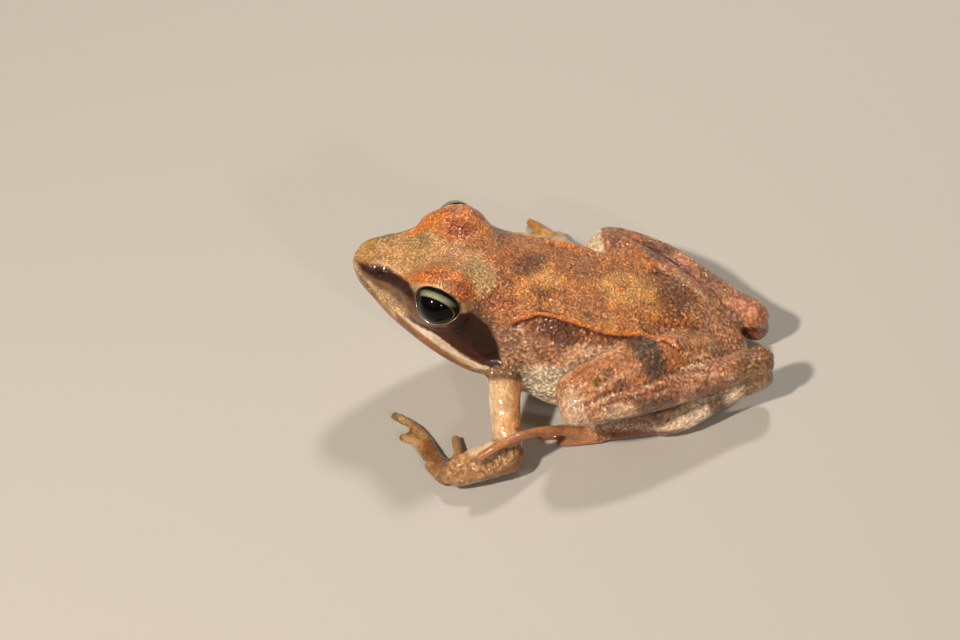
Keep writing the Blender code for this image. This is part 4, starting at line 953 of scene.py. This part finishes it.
# A live eye behind its wet cornea: black pupil, thin gold ring, and the iris pale green-gold on its upper side.
def wetEye():
    material, tree, shader = newMaterial("wetCornea")
    gaze = addNode(tree, "UVMap", {"uv_map": "gaze"}, "UV")
    part = addNode(tree, "SeparateXYZ", {"Vector": gaze})
    along, across = part.outputs["X"], part.outputs["Y"]
    place = addNode(tree, "TexCoord", {}, "Object")
    # the pupil is an oval of about 4.2 by 2.9 mm
    wide = addNode(tree, "Math", {"operation": "DIVIDE", 0: along, 1: eyeLook["pupilLong"]}, 0)
    lowered = addNode(tree, "Math", {"operation": "ADD", 0: across, 1: eyeLook["pupilDrop"]}, 0)
    tall = addNode(tree, "Math", {"operation": "DIVIDE", 0: lowered, 1: eyeLook["pupilShort"]}, 0)
    joined = addNode(tree, "CombineXYZ", {"X": wide, "Y": tall}, "Vector")
    oval = addNode(tree, "VectorMath", {"operation": "LENGTH", 0: joined}, "Value")
    threads = addNode(tree, "TexNoise", {"Scale": 1 / (0.25 * mm), "Detail": 4.0, "Vector": place}, "Fac")
    # where each of these fades: the iris's pale upper side, its dark rim, the lid's shade, its threads,
    # the edge of the pupil, and the gold line round it, which is stronger below
    sky, rimDark, lidShade, uneven, ring, gold, lower = [
        addNode(tree, "MapRange", {"Value": value, "From Min": a, "From Max": b, "To Min": c, "To Max": d}, "Result")
        for value, a, b, c, d in (
            (across, 0.2, 0.5, 0.0, 1.0), (oval, 1.08, 1.34, 1.0, 0.0), (across, 0.55, 0.66, 1.0, 0.05),
            (threads, 0.3, 0.7, 0.7, 1.15), (oval, 0.96, 1.0, 0.0, 1.0), (oval, 1.01, 1.06, 0.8, 0.0),
            (across, -0.1, 0.2, 1.0, 0.15))]
    lit = addNode(tree, "Math", {"operation": "MULTIPLY", 0: sky, 1: rimDark}, 0)
    lit = addNode(tree, "Math", {"operation": "MULTIPLY", 0: lit, 1: lidShade}, 0)
    iris = addNode(tree, "Mix", {"data_type": "RGBA", 0: lit, 6: hexToLinear(eyeLook["irisLow"]),
                                 7: hexToLinear(eyeLook["irisHigh"])}, 2)
    iris = addNode(tree, "VectorMath", {"operation": "SCALE", 0: iris, "Scale": uneven}, 0)
    goldLow = addNode(tree, "Math", {"operation": "MULTIPLY", 0: gold, 1: lower}, 0)
    gilt = addNode(tree, "Mix", {"data_type": "RGBA", 0: goldLow, 6: iris, 7: hexToLinear(eyeLook["gold"])}, 2)
    colour = addNode(tree, "Mix", {"data_type": "RGBA", 0: ring, 6: hexToLinear(eyeLook["pupil"]), 7: gilt}, 2)
    connect(tree, shader, {"Base Color": colour, "Roughness": 0.5, "IOR": 1.1, "Coat Weight": 1.0,
                           "Coat Roughness": 0.02, "Coat IOR": 1.22})
    return material


# a ball whose front bulges as the cornea, with a map that counts angles from the line of sight
def buildEye(word, sign):
    centre = Vector(eye["centre"])
    centre.x *= sign
    bpy.ops.mesh.primitive_uv_sphere_add(segments=96, ring_count=64, radius=eye["ball"] * mm)
    ball = nameAs("eyeball_" + word)
    out, longWay, up = eyeAxes()
    flip = Matrix.Diagonal(Vector((sign, 1, 1)))
    out, longWay, up = flip @ out, flip @ longWay, flip @ up
    look = flip @ Vector(eye["looksTo"]).normalized()
    lookLong = (longWay - look * longWay.dot(look)).normalized()
    lookUp = look.cross(lookLong)
    if lookUp.z < 0:
        lookUp = -lookUp
    turn = out.to_track_quat("Z", "Y").to_matrix()
    angles = []
    for vertex in ball.data.vertices:
        way = (turn @ vertex.co).normalized()
        lean = math.degrees(math.acos(max(-1.0, min(1.0, way.dot(out)))))
        vertex.co = home + (centre + way * float(ballReach(lean))) * mm
        angles.append((way.dot(lookLong), way.dot(lookUp)) if way.dot(look) > 0 else (3.0, 3.0))
    for layer in list(ball.data.uv_layers):
        ball.data.uv_layers.remove(layer)
    gaze = ball.data.uv_layers.new(name="gaze")
    for loop in ball.data.loops:
        gaze.data[loop.index].uv = angles[loop.vertex_index]
    ball.data.materials.append(bpy.data.materials.get("wetCornea") or wetEye())
    bpy.ops.object.shade_smooth()
    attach(ball, "root")
    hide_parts("eye_" + word)


lidRim = {"thick": 0.06, "edge": 1.05, "above": 0.08, "colour": "5f5946", "roughness": 0.35}


# The bare moist edge of the lids: smooth skin that shows as a thin, softly lit line round the eye.
def bareLidEdge():
    material, tree, shader = newMaterial("bareLidEdge")
    place = addNode(tree, "TexCoord", {}, "Object")
    fine = addNode(tree, "TexNoise", {"Scale": 1 / (0.3 * mm), "Detail": 3.0, "Vector": place}, "Fac")
    light = hexToLinear(lidRim["colour"])
    dark = tuple(c * 0.6 for c in light[:3]) + (1.0,)
    colour = addNode(tree, "Mix", {"data_type": "RGBA", 0: fine, 6: dark, 7: light}, 2)
    bump = addNode(tree, "Bump", {"Strength": 0.4, "Distance": 0.02 * mm, "Height": fine}, "Normal")
    connect(tree, shader, {"Base Color": colour, "Normal": bump, "Roughness": lidRim["roughness"], "Coat Weight": 0.8,
                           "Coat Roughness": 0.1})
    return material


# a thin ring round the opening of the lids
def buildLidRim(word, sign):
    out, longWay, up = eyeAxes()
    centre = Vector(eye["centre"])
    bpy.ops.mesh.primitive_torus_add(major_segments=120, minor_segments=12, major_radius=1.0, minor_radius=0.1)
    rim = nameAs("lidRim_" + word)
    for vertex in rim.data.vertices:
        turned = math.atan2(vertex.co.y, vertex.co.x)
        flat = (math.hypot(vertex.co.x, vertex.co.y) - 1.0) * lidRim["thick"] * 10
        raised = vertex.co.z * lidRim["thick"] * 10 + lidRim["above"]
        way = (out + lidRim["edge"] * (longWay * eye["halfLong"] * math.cos(turned)
                                       + up * eye["halfShort"] * math.sin(turned))).normalized()
        sideways = (way - out * way.dot(out)).normalized()
        lean = math.degrees(way.angle(out))
        place = centre + way * (float(ballReach(lean)) + raised) + sideways * flat
        place.x *= sign
        vertex.co = home + place * mm
    setMode("EDIT")
    bpy.ops.mesh.select_all(action="SELECT")
    bpy.ops.mesh.normals_make_consistent(inside=False)
    setMode("OBJECT")
    bpy.ops.object.shade_smooth()
    rim.data.materials.append(bpy.data.materials.get("bareLidEdge") or bareLidEdge())
    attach(rim, "root")


for word, sign in (("left", 1), ("right", -1)):
    buildEye(word, sign)
    buildLidRim(word, sign)
print("eyes set in")

stage = {"floor": 1.2, "floorColour": "b9b7b4", "world": "cfc6ba", "worldStrength": 0.2}

bpy.ops.mesh.primitive_plane_add(size=stage["floor"])
floor = nameAs("floor")
# pale matt paper, which shows the shadow and no reflection
paper, paperTree, paperShader = newMaterial("palePaper")
connect(paperTree, paperShader, {"Base Color": hexToLinear(stage["floorColour"]), "Roughness": 0.8})
floor.data.materials.append(paper)

world = bpy.data.worlds.new("studio")
bpy.context.scene.world = world
world.use_nodes = True
connect(world.node_tree, world.node_tree.nodes["Background"],
        {"Color": hexToLinear(stage["world"]), "Strength": stage["worldStrength"]})

lights = {
    "key": {"at": (0.2, -0.16, 0.32), "size": 0.03, "power": 1.55, "colour": "fff0dc"},
    "fill": {"at": (0.3, 0.2, 0.2), "size": 0.03, "power": 0.3, "colour": "fff4e6"},
    "rim": {"at": (-0.2, 0.05, 0.3), "size": 0.04, "power": 0.6, "colour": "fff4e6"},
}
for name, light in lights.items():
    bpy.ops.object.light_add(type="AREA", location=light["at"])
    lamp = bpy.context.object
    lamp.name = name
    lamp.data.size = light["size"]
    lamp.data.energy = light["power"]
    lamp.data.color = hexToLinear(light["colour"])[:3]
    lamp.rotation_euler = (Vector((0, 0, 0.01)) - lamp.location).to_track_quat("-Z", "Y").to_euler()

bpy.ops.object.camera_add(location=home + Vector(view["at"]) * mm, rotation=[math.radians(a) for a in view["turn"]])
camera = bpy.context.object
camera.data.lens = view["lens"]
camera.data.sensor_width = view["sensor"]
camera.data.clip_start = 0.01
camera.data.clip_end = 10
bpy.context.scene.camera = camera
bpy.context.scene.view_settings.view_transform = "Standard"
print("studio set")
